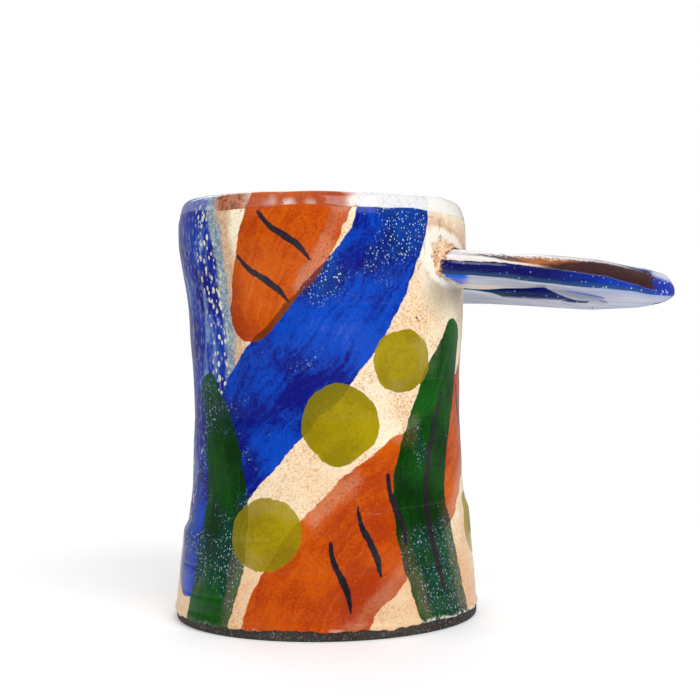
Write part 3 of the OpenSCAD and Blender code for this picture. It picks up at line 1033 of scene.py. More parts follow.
@dataclass(frozen=True)
class PaintedCoat(PaintedClay):
    """Brushed slips on sandy clay, under a thin glaze."""

    name: str = "painted_coat"
    specular: float = 0.16
    pool: Colour = srgb(255, 252, 240)
    stained: Colour = srgb(216, 156, 112)
    painted_shadow: Colour = srgb(176, 160, 138)
    halo: Colour = srgb(255, 250, 236)
    crack: Colour = srgb(96, 70, 54)
    crust: Colour = srgb(236, 230, 220)

    def surface(self, tree: Tree) -> Surface:
        """Say how the surface looks.

        Args:
            tree: The material's tree.

        Returns:
            Colour, roughness, and height in mm.
        """
        colour, cover, relief = self.painted(tree)
        near_root, up, bare = tree.kept("near_root"), tree.place().split()[2], 1.0 - cover
        # Round the roots: pooled glaze, stained clay above, a painted shadow of the handle below, and a pale
        # halo at the joint
        colour = colour.lay(near_root * tree.noise(0.2).rise(0.4, 0.56) * (0.8 - cover), self.pool)
        above = up.rise(91, 95, 0.0, 0.85) * tree.noise(0.16, 4).rise(0.38, 0.5)
        colour = colour.lay(near_root * bare * above, self.stained)
        colour = colour.lay(tree.kept("shadow_under_root") * (0.85 - cover), self.painted_shadow)
        colour = colour.lay(near_root.rise(0.8, 0.97, 0.0, 0.85) * up.rise(83, 86) * bare, self.halo)
        crack = tree.use(self.effects.cracks, Size=0.12)["Crack"] * near_root
        colour = colour.lay(crack * 0.5, self.crack)
        # The coat's lower rim has a crust here and there
        crusted = tree.noise(0.6).rise(0.42, 0.54) * tree.noise(0.04, 1, stretch=(1, 1, 0.2)).rise(0.44, 0.56)
        colour = colour.lay(tree.kept("rim_of_coat") * crusted, self.crust)
        rough = tree.noise(0.25).rise(0.35, 0.7) * 0.1 + (0.2 - cover * 0.08)
        return colour, rough, relief * (0.085 - cover * 0.055) - crack * 0.12


@dataclass(frozen=True)
class LinerGlaze(PaintedClay):
    """A clear glaze that turns milky in places. The slips show through on the lip, and inside it is pale."""

    name: str = "liner_glaze"
    light: Colour = srgb(226, 206, 190)
    warm: Colour = srgb(206, 170, 146)
    sand: float = 0.6
    milk: Colour = srgb(254, 251, 247)
    rust: Colour = srgb(150, 76, 36)
    pale_rust: Colour = srgb(196, 112, 70)
    soot: Colour = srgb(52, 40, 40)
    ash: Colour = srgb(128, 140, 140)
    lilac: Colour = srgb(140, 148, 214)
    speck: Colour = srgb(96, 74, 66)

    def surface(self, tree: Tree) -> Surface:
        """Say how the surface looks.

        Args:
            tree: The material's tree.

        Returns:
            Colour, roughness, and height in mm.
        """
        colour, cover, _ = self.painted(tree)
        sideways, depth, _ = tree.place().split()
        fleck = tree.noise(0.9, 4, 0.7)
        # Rust, where the glaze broke over bare clay, and lilac, where it lies on the wash
        rusty = tree.mix(fleck.rise(0.46, 0.58), self.rust, self.pale_rust)
        rusty = rusty.lay(fleck.rise(0.42, 0.36), self.soot).lay(tree.specks(0.7, 0.4, 0.5), self.ash)
        front_left = sideways.rise(-16, -20) * depth.rise(-6, -12)
        patch = tree.noise(0.036, 2, stretch=(1, 1, 0.3)).rise(0.5, 0.53).most(front_left)
        colour = colour.lay(patch * (1.0 - cover), rusty)
        left = sideways.rise(-24, -33, 0.0, 0.6) * fleck.rise(0.3, 0.55, 0.5, 1.0)
        colour = colour.lay(left * cover, self.lilac)
        # Milk, thicker inside; its rise towards the handle side is a painted highlight on the lip
        milk_and_highlight = (tree.noise(0.06) + sideways.rise(-26, 34, -0.06, 0.14)).rise(0.48, 0.62, 0.02, 0.84)
        milk_and_highlight = (milk_and_highlight * fleck.rise(0.3, 0.5, 0.7, 1.0)).most(tree.kept("inside") * 0.9)
        colour = colour.lay(milk_and_highlight, self.milk).lay(tree.specks(0.5, 0.2, 0.4) * 0.6, self.speck)
        return colour, fleck.rise(0.3, 0.7, 0.06, 0.14), tree.noise(0.22, 2) * 0.14


@dataclass(frozen=True)
class BareClay(Finish):
    """Unglazed clay: at the slab it is smoked dark, at the roots it is orange and rough."""

    ior: float = 1.45
    specular: float = 0.5
    light: Colour = srgb(214, 172, 130)
    warm: Colour = srgb(180, 128, 88)
    crack: Colour = srgb(52, 32, 22)
    sand: float = 1.0
    relief: float = 0.2
    cracked: float = 0.0

    def surface(self, tree: Tree) -> Surface:
        """Say how the surface looks.

        Args:
            tree: The material's tree.

        Returns:
            Colour, roughness, and height in mm.
        """
        clay = tree.use(self.effects.clay, Light=self.light, Warm=self.warm, Sand=self.sand)
        crack = tree.use(self.effects.cracks, Size=0.5)["Crack"] * self.cracked
        rub = tree.noise(0.5, 4, stretch=(1, 1, 3)).rise(0.5, 0.7)
        colour = clay["Color"].lay(crack, self.crack).lay(rub * 0.35, self.warm)
        return colour, rub * -0.15 + 0.78, clay["Height"] * self.relief - crack * 0.3


class LoopPlace:
    """Where a point of the handle lies in the loop's section, and the noise that its glazes share."""

    def __init__(self, tree: Tree) -> None:
        """Read the vertices' values and make the noise."""
        self.tree = tree
        self.level, self.inward, self.along = tree.kept("section", "Vector").split()
        self.band = tree.kept("band")
        self.fleck = tree.noise(1.9, 3, 0.7, (0.5, 1, 1))
        self.run = tree.noise(0.8, 4, 0.6, (0.1, 1, 1))
        self.wobble = (tree.noise(0.4) - 0.5) * 0.22
        self.wavy = self.level + self.wobble


@dataclass(frozen=True)
class HandleGlaze(Finish):
    """The handle's glaze: blue round its edge, brown and white on the bevel, pale grey-lilac underneath."""

    name: str = "handle_glaze"
    umber: Colour = srgb(104, 84, 84)
    rust: Colour = srgb(186, 106, 52)
    plum: Colour = srgb(58, 28, 32)
    brown: Colour = srgb(96, 58, 44)
    white: Colour = srgb(244, 242, 240)
    grey: Colour = srgb(222, 218, 218)
    rim: Colour = srgb(18, 46, 136)
    crest: Colour = srgb(104, 82, 62)
    navy: Colour = srgb(1, 3, 88)
    bright: Colour = srgb(4, 58, 178)
    ink: Colour = srgb(2, 12, 110)
    teal: Colour = srgb(28, 76, 106)
    salt: Colour = srgb(206, 222, 240)
    tip: Colour = srgb(4, 54, 180)
    tip_highlight: Colour = srgb(226, 226, 236)
    tip_salt: Colour = srgb(190, 210, 238)
    milk: Colour = srgb(200, 205, 224)
    haze: Colour = srgb(176, 184, 206)
    sky: Colour = srgb(160, 180, 228)
    leaf_shade: Colour = srgb(122, 130, 158)
    vein: Colour = srgb(60, 88, 196)
    azure: Colour = srgb(0, 100, 236)
    speck: Colour = srgb(70, 70, 84)
    mark: Colour = srgb(10, 16, 84)
    worn: Colour = srgb(240, 226, 206)
    root: Colour = srgb(206, 132, 80)
    root_pale: Colour = srgb(252, 228, 196)
    root_under: Colour = srgb(252, 242, 226)

    def top(self, at: LoopPlace) -> Value:
        """White slip on the bevel and the top, partly standing for a painted highlight, with brown brushed
        along the bevel up to a stippled line.

        Args:
            at: Where the point lies.

        Returns:
            The colour.
        """
        along, run, fleck, wobble = at.along, at.run, at.fleck, at.wobble
        above_band = at.level - at.band
        brown = at.tree.mix(along.rise(8, 18), self.umber, self.rust)
        brown = brown.lay((along - above_band * 13.0 + run * 8.0).rise(16, 23), self.plum)
        brown = brown.lay(run.rise(0.5, 0.66) * 0.5, self.brown)
        ends = along.rise(0, 34, 0.6, 0.88)
        reach = at.level + ((fleck - 0.5) * along.rise(20, 34, 1.3, 0.2) + wobble)
        brushed = reach.rise(ends + 0.1, ends - 0.16) * along.rise(-3, 5, 0.25, 1.0)
        strip = along.rise(0, 16, 0.34, -0.1)
        brushed = brushed * (above_band + wobble).rise(strip, strip + 0.14)
        # White slip, which also stands for a painted highlight on the upper bevel, under the brushed brown
        top = at.tree.mix(run.rise(0.4, 0.7), self.white, self.grey).lay(brushed, brown)
        # A blue rim where the top is highest, and a brown line of painted shade along the crest
        rim = (at.wavy - along.rise(36, 56, 0.97, 0.55)).rise(0.0, 0.08) * at.inward.rise(4.4, 4.0)
        line = at.inward + wobble * 3.0
        crest = line.rise(4.5, 4.8) * line.rise(5.8, 5.4) * fleck.rise(0.36, 0.5, 0.5, 1.0)
        crest = crest * along.rise(12, 18, 0.0, 0.8)
        return top.lay(rim * along.rise(30, 35), self.rim).lay(crest, self.crest)

    def edge_band(self, at: LoopPlace) -> Value:
        """Deep blue round the edge, brighter and speckled towards the tip, teal along its lower edge.

        Args:
            at: Where the point lies.

        Returns:
            The colour.
        """
        blue = at.tree.mix(at.along.rise(16, 44), self.navy, self.bright)
        blue = blue.lay(at.run.rise(0.5, 0.64) * 0.5, self.ink)
        blue = blue.lay(at.wavy.rise(-0.55, -0.8) * 0.6, self.teal)
        return blue.lay(at.tree.specks(1.0, 0.3, 0.4) * at.along.rise(0, 50, 0.25, 1.0), self.salt)

    def underside(self, at: LoopPlace) -> Value:
        """Thin milky glaze over grey clay, with painted shade on the smoothed leaf of clay and azure at the
        wall.

        Args:
            at: Where the point lies.

        Returns:
            The colour.
        """
        tree = at.tree
        under = tree.mix(tree.noise(0.5, 4, stretch=(0.12, 1, 1)).rise(0.4, 0.68), self.milk, self.haze)
        under = under.lay(at.inward.rise(5.0, 1.0) * at.along.rise(26, 38, 0.0, 0.75), self.sky)
        beside, down, in_leaf = tree.kept("leaf", "Vector").split()
        # Painted shade in the hollow of the smoothed leaf, and a blue glaze line along its edge
        hollow = beside.rise(-1.15, -0.8) * beside.rise(1.0, -0.3, 0.0, 0.75)
        vein = beside.rise(-1.45, -1.15) * beside.rise(-0.85, -1.0) * (in_leaf * down.rise(0.1, 0.4))
        under = under.lay(hollow * in_leaf, self.leaf_shade).lay(vein * 0.85, self.vein)
        under = under.lay((at.along + at.fleck * 3.0).rise(1.6, -0.8), self.azure)
        return under.lay(tree.specks(0.5, 0.12, 0.25) * 0.7, self.speck)

    def surface(self, tree: Tree) -> Surface:
        """Say how the surface looks.

        Args:
            tree: The material's tree.

        Returns:
            Colour, roughness, and height in mm.
        """
        at = LoopPlace(tree)
        fleck, wavy = at.fleck, at.wavy
        colour = self.edge_band(at).lay(wavy.rise(at.band - 0.04, at.band + 0.04), self.top(at))
        # The tip: blue, with a painted highlight in white towards its top, and salt specks
        tip = tree.mix(wavy.rise(0.3, 0.9), self.tip, self.tip_highlight)
        tip = tip.lay(tree.specks(1.3, 0.45, 0.7), self.tip_salt)
        colour = colour.lay((at.along + (fleck - 0.5) * 8.0).rise(48.5, 51) * 0.85, tip)
        low = (at.level + at.wobble * 0.1).rise(-0.86, -0.92)
        colour = colour.lay(low, self.underside(at)).lay(tree.kept("dark_mark"), self.mark)
        # The worn mask holds worn glaze under the near arm and a painted highlight line over the blue band
        colour = colour.lay(tree.kept("worn") * fleck.rise(0.32, 0.44), self.worn)
        # Bare clay shows where the glaze ends at the wall
        bare = (tree.kept("off_wall") + (fleck - 0.5) * 5.0).rise(1.5, 0.7)
        root = tree.mix(fleck.rise(0.44, 0.6), self.root, self.root_pale).lay(low * 0.85, self.root_under)
        height = tree.noise(0.8) * 0.06 + at.run * 0.05 + bare * fleck * 0.3
        return colour.lay(bare, root), fleck.rise(0.3, 0.7, 0.08, 0.18), height


# Pieces

@dataclass
class Vessel:
    """Slab, wall, coat and liner: everything that goes round."""

    shape: ClayShape
    design: Design
    effects: Effects
    roots: tuple["RootPlace", ...]
    columns: int = 640
    clay_columns: int = 320
    coat_t: float = 0.45
    coat_starts: float = 0.7
    coat_low: float = 2.8
    foot_zone: float = 7.5
    coat_under_rim: float = 2.1
    coat_waves: Sequence[tuple[int, float]] = ((3, 0.8), (7, 0.4), (29, 0.35), (97, 0.3), (211, 0.22))
    coat_seed: int = 31
    foot_edge: tuple[float, float] = (-0.12, 0.22)
    blot_edge: tuple[float, float] = (-0.2, 0.25)
    crust_edge: tuple[float, float] = (1.1, 0.2)
    near_root: tuple[float, float] = (9.0, 1.0)
    sunk: float = 0.12
    liner_t: float = 0.5
    lap_depth: float = 6.2
    lap_past_wall: float = 0.5
    lap_soft: float = 0.8
    lap_over_coat: float = 0.2
    lap_waves: Sequence[tuple[int, float]] = ((6, 0.8), (19, 0.5), (61, 0.2))
    lap_seed: int = 47
    lip_waves: Sequence[tuple[int, float]] = ((9, 0.16), (31, 0.08))
    lip_seed: int = 53
    hollow_lift: tuple[float, float] = (0.4, 0.7)
    slab_rings: Sequence[float] = (0.2, 0.5, 0.8, 0.94)
    floor_rings: Sequence[float] = (0.7, 0.35)
    liner_rings: Sequence[float] = (0.75, 0.5, 0.25)

    def angles(self, columns: int) -> Array:
        """Angles of the columns, in radians."""
        return np.arange(columns) * math.tau / columns

    def slab(self) -> None:
        """The clay disc that the mug stands on, with its edge rounded by hand."""
        shape, angle = self.shape, self.angles(self.clay_columns)
        height = np.concatenate([np.linspace(0, shape.slab_bevel, 8),
                                 np.linspace(shape.slab_bevel, shape.slab_t, 8)[1:]])
        height = np.broadcast_to(height[:, None], (len(height), len(angle)))
        radius, share = shape.outside(angle, height)
        rows = [shape.place(angle, radius[:1] * s, height[:1], share[:1]) for s in self.slab_rings]
        rows += [shape.place(angle, radius, height, share)]
        piece = grid_mesh("slab_disc", np.concatenate(rows), caps=(True, True))
        dark = BareClay(self.effects, "smoked_clay", light=srgb(52, 49, 45), warm=srgb(27, 25, 24), sand=0.3)
        dress(piece, dark.material(), "base_slab")

    def wall(self) -> None:
        """The clay wall under both glazes."""
        shape, angle = self.shape, self.angles(self.clay_columns)
        height = shape.slab_t + np.linspace(0, 1, 90)[:, None] * (shape.wall_h(angle) - shape.lap_h)
        radius, share = shape.outside(angle, height)
        lip_r, lip_z = shape.lip_rows(angle)
        in_r, in_z, in_share = shape.inside_rows(angle)
        ones = np.ones_like(lip_r)
        floor = [shape.place(angle, in_r[-1:] * s, in_z[-1:], in_share[-1:]) for s in self.floor_rings]
        points = np.concatenate([
            shape.place(angle, radius, height, share), shape.place(angle, lip_r, lip_z, ones),
            shape.place(angle, in_r, in_z, in_share), *floor])
        piece = grid_mesh("clay_wall", points, caps=(True, True))
        bare = BareClay(self.effects, "bare_clay", light=srgb(254, 232, 200), warm=srgb(238, 188, 140),
                        sand=1.1, cracked=0.3)
        dress(piece, bare.material(), "wall")

    def coat(self) -> None:
        """The painted coat. It sinks into the clay where it is ragged or left off."""
        shape, angle = self.shape, self.angles(self.columns)
        low = np.linspace(self.coat_starts, self.foot_zone, 46)[:, None] * np.ones_like(angle)
        above_zone = shape.slab_t + shape.wall_h(angle) - (self.foot_zone + self.coat_under_rim)
        height = np.concatenate([low, self.foot_zone + np.linspace(0, 1, 330)[1:, None] * above_zone])
        radius, share = shape.outside(angle, height)
        over_foot = height - (self.coat_low + rough_line(angle / math.tau, self.coat_waves, self.coat_seed))
        cover = smooth_step(*self.foot_edge, over_foot)
        near, under = np.zeros_like(height), np.zeros_like(height)
        for root in self.roots:
            past = root.past_edge(angle, height)
            cover = np.minimum(cover, smooth_step(*self.blot_edge, past))
            near = np.maximum(near, smooth_step(*self.near_root, past) * (past > -0.5))
            # Painted shadow of the handle on the wall under each root
            under = np.maximum(under, root.underneath(angle, height))
        radius = radius - self.sunk + (self.coat_t + self.sunk) * cover
        piece = grid_mesh("painted_coat", shape.place(angle, radius, height, share))
        rim = smooth_step(*self.crust_edge, over_foot) * cover
        for name, values in (("near_root", near), ("shadow_under_root", under), ("rim_of_coat", rim)):
            write_values(piece, name, values.ravel())
        self.design.write(piece)
        dress(piece, PaintedCoat(self.effects).material(), "outer_coat")

    def liner(self) -> None:
        """The liner glaze inside, over the lip, and down to its wavy end outside."""
        shape, angle = self.shape, self.angles(self.columns // 2)
        turn = angle / math.tau
        top = shape.slab_t + shape.wall_h(angle)
        end = shape.lap_h + self.lap_past_wall + rough_line(turn, self.lap_waves, self.lap_seed)
        outer_z = top - np.linspace(self.lap_depth, shape.lip_round, 34)[:, None] * np.ones_like(angle)
        outer_r, outer_share = shape.outside(angle, outer_z)
        thick = np.broadcast_to(smooth_step(0.0, self.lap_soft, end - (top - outer_z)), outer_r.shape)
        outer_r = outer_r - self.sunk + (self.coat_t + self.sunk + self.lap_over_coat) * thick
        lip_r, lip_z = shape.lip_rows(angle)
        middle = shape.outer_r(angle, np.ones_like(angle)) - shape.lip_lean - shape.lip_t / 2
        lift = self.liner_t
        grown = (shape.lip_t / 2 + lift) / (shape.lip_t / 2)
        lip_r = middle + (lip_r - middle) * grown
        lip_z = lip_z + lift + rough_line(turn, self.lip_waves, self.lip_seed)
        in_r, in_z, in_share = shape.inside_rows(angle)
        ones, inward, up = np.ones_like(lip_r), *self.hollow_lift
        side, hollow = slice(None, -len(shape.hollow_turns)), slice(-len(shape.hollow_turns), None)
        rows = np.concatenate([
            shape.place(angle, outer_r, outer_z, outer_share), shape.place(angle, lip_r, lip_z, ones),
            shape.place(angle, in_r[side] - lift, in_z[side], in_share[side]),
            shape.place(angle, in_r[hollow] - inward * lift, in_z[hollow] + up * lift, in_share[hollow])])
        rows = cut_corners(rows, 2)
        last = rows[-1:]
        centre = last.mean(axis=1, keepdims=True)
        floor = [centre + (last - centre) * s for s in self.liner_rings]
        piece = grid_mesh("liner_glaze_coat", np.concatenate([rows, *floor]), caps=(False, True))
        points = vertices(piece)
        radius = np.hypot(points[:, 0], points[:, 1])
        crest = shape.mouth_r - shape.lip_t / 2 - 1.2
        write_values(piece, "inside", smooth_step(crest + 1.0, crest - 1.5, radius))
        self.design.write(piece)
        dress(piece, LinerGlaze(self.effects).material(), "liner_glaze")

    def coil(self) -> None:
        """Dress the CAD node that stays: the coil under the liner."""
        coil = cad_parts["seam_coil"]
        coil.data.materials.clear()
        coil.data.materials.append(BareClay(self.effects, "coil_clay").material())
        log.info("seam_coil: the CAD node, coil_clay")

    def build(self) -> None:
        """Build and dress every piece that goes round."""
        for piece in (self.slab, self.wall, self.coat, self.liner, self.coil):
            piece()


@dataclass(frozen=True)
class RootPlace:
    """Where an arm leaves the wall, and the bare blot that the coat leaves round it."""

    angle: float
    height: float
    half_turn: float
    half_height: float
    half_below: float
    tilt: float
    seed: int
    round_r: float = 37.4
    squareness: float = 2.4
    shadow_turn: tuple[float, float] = (1.7, 0.6)
    shadow_below: tuple[float, float] = (16, 7)
    edge_waves: Sequence[tuple[int, float]] = ((7, 0.7), (23, 0.4), (61, 0.25))

    def sideways(self, angle: Array) -> Array:
        """Distance round the mug from the root's middle, in mm."""
        return ((angle - math.radians(self.angle) + math.pi) % math.tau - math.pi) * self.round_r

    def underneath(self, angle: Array, height: Array) -> Array:
        """How deep a place lies in the painted shadow that the handle casts on the wall under the root.

        Args:
            angle: Angles in radians, one for each column.
            height: Heights in mm.

        Returns:
            Values from 0 to 1.
        """
        (wide, narrow), (low, high) = self.shadow_turn, self.shadow_below
        beside = smooth_step(self.half_turn * wide, self.half_turn * narrow, np.abs(self.sideways(angle)))
        return beside * smooth_step(self.height - low, self.height - high, height) * (height < self.height)

    def past_edge(self, angle: Array, height: Array) -> Array:
        """Distance past the blot's ragged edge.

        Args:
            angle: Angles in radians, one for each column.
            height: Heights in mm.

        Returns:
            Distances in mm, negative in the blot.
        """
        dx = self.sideways(angle)
        across = dx / self.half_turn
        up = height - self.height - dx * math.tan(math.radians(self.tilt))
        up = up / np.where(up < 0, self.half_below, self.half_height)
        size = (np.abs(across) ** self.squareness + np.abs(up) ** self.squareness) ** (1 / self.squareness)
        around = np.arctan2(up, across) / math.tau
        ragged = rough_line(around, self.edge_waves, self.seed)
        return (size - 1) * min(self.half_turn, self.half_height) + ragged


@dataclass
class LoopHandle:
    """The pointed loop: two straps that meet in a blade, and the clay pressed round their roots."""

    shape: ClayShape
    effects: Effects
    root_depth: float = 18.3
    arm_spread: float = 23
    arm_w: float = 12.5
    arm_t: float = 7.7
    edge_w: float = 5.5
    edge_most: float = 0.8
    slot_l: float = 36
    tip_w: float = 2
    tip_drop: float = 4.6
    crown_h: float = 1.3
    loop_tilt: float = 5.8
    arm_tilt: float = 9
    blade_tilt: float = 14
    root_flare: float = 1.9
    flare_l: float = 2.2
    luting_w: float = 1.5
    luting_l: float = 1.7
    luting_corner_r: float = 1.2
    luting_below: float = 0.2
    luting_tuck: float = 0.12
    lumps: Sequence[tuple[tuple[int, int], float]] = (((19, 4), 0.35), ((47, 9), 0.25))
    outline_power: float = 0.76
    slot_power: float = 0.8
    droop_power: float = 0.95
    twist_power: float = 3
    edge: Shares = ((1, 0.98), (0.62, 0.8), (0.3, 0.44), (0, -0.18), (0.03, -0.84), (0.16, -0.98))
    crown_of_edge: Sequence[float] = (0.75, 0.45, 0.1, 0, 0, 0)
    crown_path: Shares = ((0.2, 0), (0.3, 0.7), (0.45, 1), (0.95, 1), (1, 0.3))
    band_top: Shares = ((0, -0.04), (0.12, 0.02), (0.3, -0.06), (0.6, -0.24), (0.85, -0.55), (1, -0.8))
    slot_edge_rise: Shares = ((0, -0.9), (0.09, -0.7), (0.17, 0.1), (0.27, 0.8), (0.37, 1.5), (0.435, 1.1),
                              (0.49, 0.65), (0.55, 0.2), (0.62, 0), (1, 0))
    outer_edge_drop: Shares = ((0, 0.4), (0.16, 0.45), (0.27, 0.78), (0.37, 0.87), (0.435, 1.08),
                               (0.49, 1.17), (0.55, 1.2), (0.64, 0.95), (0.73, 0.43), (0.8, 0.05), (1, 0))
    nose_l: float = 2.4
    nose_heart: float = 0.65
    nose_round: float = 0.8
    blade_spacing: float = 0.85
    smear_shares: tuple[float, float] = (0.02, 0.98)
    smear_power: float = 0.7
    corner_r: float = 0.7
    sunk_l: float = 2.5
    dense_l: float = 8
    flat_from: tuple[float, float] = (2.0, 9.0)
    leaf_ends: tuple[float, float] = (20.5, 38)
    leaf_sides: tuple[float, float] = (-7.6, -1.6)
    leaf_half_w: float = 2.6
    leaf_half_t: float = 0.9
    leaf_drop: float = 0.4
    joint_ends: tuple[float, float] = (27, 39.5)
    joint_sides: tuple[float, float] = (6.4, 2.2)
    joint_half_w: float = 3.4
    joint_half_t: float = 0.7
    joint_drop: float = 0.15
    mark_at: tuple[float, float] = (53, 2.6)
    mark_half: tuple[float, float] = (2.2, 0.9)
    thick_path: Shares = ((0, 1), (0.84, 1), (0.9, 0.9), (0.94, 0.8), (0.98, 0.65), (1, 0.545))
    voxel: float = 0.28

    def __post_init__(self) -> None:
        """Work out where the loop starts and how far it reaches."""
        self.root_h = self.shape.rim_h - self.root_depth
        self.grip_x = float(self.wall_x(np.array(0.0), np.array(self.root_h)))
        self.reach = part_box("near_arm")[1].x / MM - self.grip_x

    def wall_x(self, y: Array, z: Array) -> Array:
        """Where the wall's outside lies.

        Args:
            y: Sideways places.
            z: Heights above the table.

        Returns:
            Places along the loop.
        """
        shape = self.shape
        share = (z - shape.slab_t) / shape.wall_h(np.zeros_like(z))
        angle = np.arcsin(np.clip(y / shape.outer_r(np.zeros_like(z), share), -1, 1))
        out = np.sqrt(np.maximum(shape.outer_r(angle, share) ** 2 - y ** 2, 0))
        return shape.lean * smooth_lookup(share, shape.lean_path) + out

    def half_out(self, t: Array) -> Array:
        """Half the loop's outer width at a share of the reach."""
        half_tip = self.tip_w / 2
        return half_tip + (self.arm_spread - half_tip) * np.maximum(0, 1 - t) ** self.outline_power

    def half_slot(self, t: Array) -> Array:
        """Half the finger slot's width at a share of the reach."""
        left = np.maximum(0, 1 - t * self.reach / self.slot_l)
        return (self.arm_spread - self.arm_w) * left ** self.slot_power

    def half_thick(self, t: Array) -> Array:
        """Half the thickness at a share of the reach."""
        return self.arm_t / 2 * smooth_lookup(t, self.thick_path)

    def middle_z(self, y: Array, t: Array) -> Array:
        """Height of the middle of the thickness, with the twist of the arms into the blade.

        Args:
            y: Sideways places.
            t: Share of the reach.

        Returns:
            Heights above the table.
        """
        turned = np.clip(t * self.reach / self.slot_l, 0, 1)
        middle = np.where(y < 0, -1, 1) * (self.half_out(t) + self.half_slot(t)) / 2
        loop = self.loop_tilt + (self.blade_tilt - self.loop_tilt) * turned ** self.twist_power
        arm = self.arm_tilt + (self.blade_tilt - self.arm_tilt) * turned
        drop = self.tip_drop * np.maximum(0, t) ** self.droop_power
        return self.root_h - drop - middle * np.tan(np.radians(loop)) - (y - middle) * np.tan(np.radians(arm))

    def sag(self, y: Array, t: Array) -> Array:
        """How far the near arm's underside hangs under the plain section, or at the slot stands over it.

        Args:
            y: Sideways places.
            t: Share of the reach.

        Returns:
            Depths in mm, negative where it stands over.
        """
        inside, outside = self.half_slot(t), self.half_out(t)
        inner = np.clip((outside - np.abs(y)) / np.maximum(outside - inside, 0.1), 0, 1)
        drop, rise = smooth_lookup(t, self.outer_edge_drop), smooth_lookup(t, self.slot_edge_rise)
        return np.where(y < 0, drop * (1 - inner) - rise * inner, 0)

    def half_section(self, side: int, t: float) -> Array:
        """One side of the loop across its length.

        Args:
            side: -1 for the near arm, 1 for the far one.
            t: Share of the reach.

        Returns:
            Corners as (corner, [y, z]), from the top of the slot round the edge to its underside.
        """
        flare = self.root_flare * math.exp(-t * self.reach / self.flare_l)
        outside, inside = float(self.half_out(t)) + flare, float(self.half_slot(t))
        bevel = min(self.edge_w, (outside - inside) * self.edge_most)
        middle = (inside + outside - bevel) / 2
        crown = self.crown_h / (self.arm_t / 2) * float(smooth_lookup(t, self.crown_path))
        outline = [(inside, 1 + crown), (middle, 1 + crown)]
        outline += [(outside - bevel * p[0], p[1] + crown * c) for p, c in zip(self.edge, self.crown_of_edge)]
        outline += [(middle, -1), (inside, -1)]
        y = np.array([side * p[0] for p in outline])
        level = np.array([p[1] for p in outline])
        z = self.middle_z(y, t) + level * float(self.half_thick(t)) - self.sag(y, t) * (level < -0.8)
        return np.stack([y, z], axis=1)

    def stand(self, section: Array, off: float) -> Array:
        """Place a section along the loop. At the wall it follows the wall's curve, further out it is flat.

        Args:
            section: Corners as [y, z].
            off: Distance from the wall.

        Returns:
            Corners as [x, y, z].
        """
        curved = self.wall_x(section[:, 0], section[:, 1]) + off
        share = smooth_step(*self.flat_from, off)
        return np.column_stack([curved * (1 - share) + (self.grip_x + off) * share, section])

    def strap(self, side: int, end: float) -> Array:
        """Rings of one arm, from inside the wall to an end.

        Args:
            side: -1 for the near arm, 1 for the far one.
            end: Distance from the wall at the end.

        Returns:
            The rings.
        """
        stations = np.concatenate([np.linspace(-self.sunk_l, self.dense_l, 22),
                                   np.linspace(self.dense_l, end, 60)[1:]])
        rings = np.stack([self.stand(self.half_section(side, max(s, 0) / self.reach), s) for s in stations])
        return rounded_loop(rings, self.corner_r, runs=2)

    def blade(self, start: float) -> Array:
        """Rings of the blade, from near the end of the slot to the tip.

        Args:
            start: Distance from the wall at the first ring.

        Returns:
            The rings.
        """
        rings = []
        for s in start + (self.reach - start) * np.linspace(0, 1, 70) ** self.blade_spacing:
            near, far = self.half_section(-1, s / self.reach), self.half_section(1, s / self.reach)
            near[[0, -1], 0], far[[0, -1], 0] = 0, 0
            ring = np.concatenate([near, far[-2:0:-1]])
            into_nose = max(0.0, (s - self.reach + self.nose_l) / self.nose_l)
            low, high = ring[:, 1].min(), ring[:, 1].max()
            heart = np.array([0, self.nose_heart * low + (1 - self.nose_heart) * high])
            ring = heart + (ring - heart) * math.sqrt(1 - self.nose_round * into_nose ** 2)
            rings.append(np.column_stack([np.full(len(ring), self.grip_x + s), ring]))
        return rounded_loop(np.stack(rings), self.corner_r, runs=2)

    def smear(self, ends: tuple[float, float], sides: tuple[float, float], half_w: float, half_t: float,
              drop: float) -> Array:
        """Rings of a lens of clay smoothed against the underside.

        Args:
            ends: Where it starts and ends along the loop.
            sides: Its sideways place at its start and end.
            half_w: Half its width.
            half_t: Half its thickness.
            drop: How far its middle hangs under the underside.

        Returns:
            The rings.
        """
        turn = np.linspace(0, math.tau, 20, endpoint=False)
        rings = []
        for share in np.linspace(*self.smear_shares, 30):
            along = ends[0] + share * (ends[1] - ends[0])
            y = sides[0] + share * (sides[1] - sides[0])
            t = along / self.reach
            full = math.sin(math.pi * share) ** self.smear_power
            z = float(self.middle_z(y, t) - self.half_thick(t) - self.sag(np.array(y), t)) - drop * full
            tilt = math.tan(math.radians(self.blade_tilt)) * full
            dy = np.cos(turn) * half_w * full
            rings.append(np.column_stack([np.full(len(turn), self.grip_x + along), y + dy,
                                          z + np.sin(turn) * half_t * full - dy * tilt]))
        return np.stack(rings)

    def melt(self, name: str, tubes: Sequence[Array]) -> bpy.types.Object:
        """Join closed tubes into one softly rounded solid.

        Args:
            name: Name of the piece.
            tubes: Rings of each tube.

        Returns:
            The piece, with one skin.
        """
        parts = [grid_mesh(f"{name}_{i}", tube, caps=(True, True)) for i, tube in enumerate(tubes)]
        joined = bmesh.new()
        for part in parts:
            joined.from_mesh(part.data)
            bpy.data.objects.remove(part)
        bmesh.ops.recalc_face_normals(joined, faces=joined.faces)
        mesh = bpy.data.meshes.new(name)
        joined.to_mesh(mesh)
        joined.free()
        piece = added(name, mesh)
        remesh = piece.modifiers.new("one_skin", "REMESH")
        remesh.mode, remesh.voxel_size = "VOXEL", self.voxel * MM
        soften = piece.modifiers.new("soften", "SMOOTH")
        soften.factor, soften.iterations = 0.5, 5
        apply_modifiers(piece)
        return piece

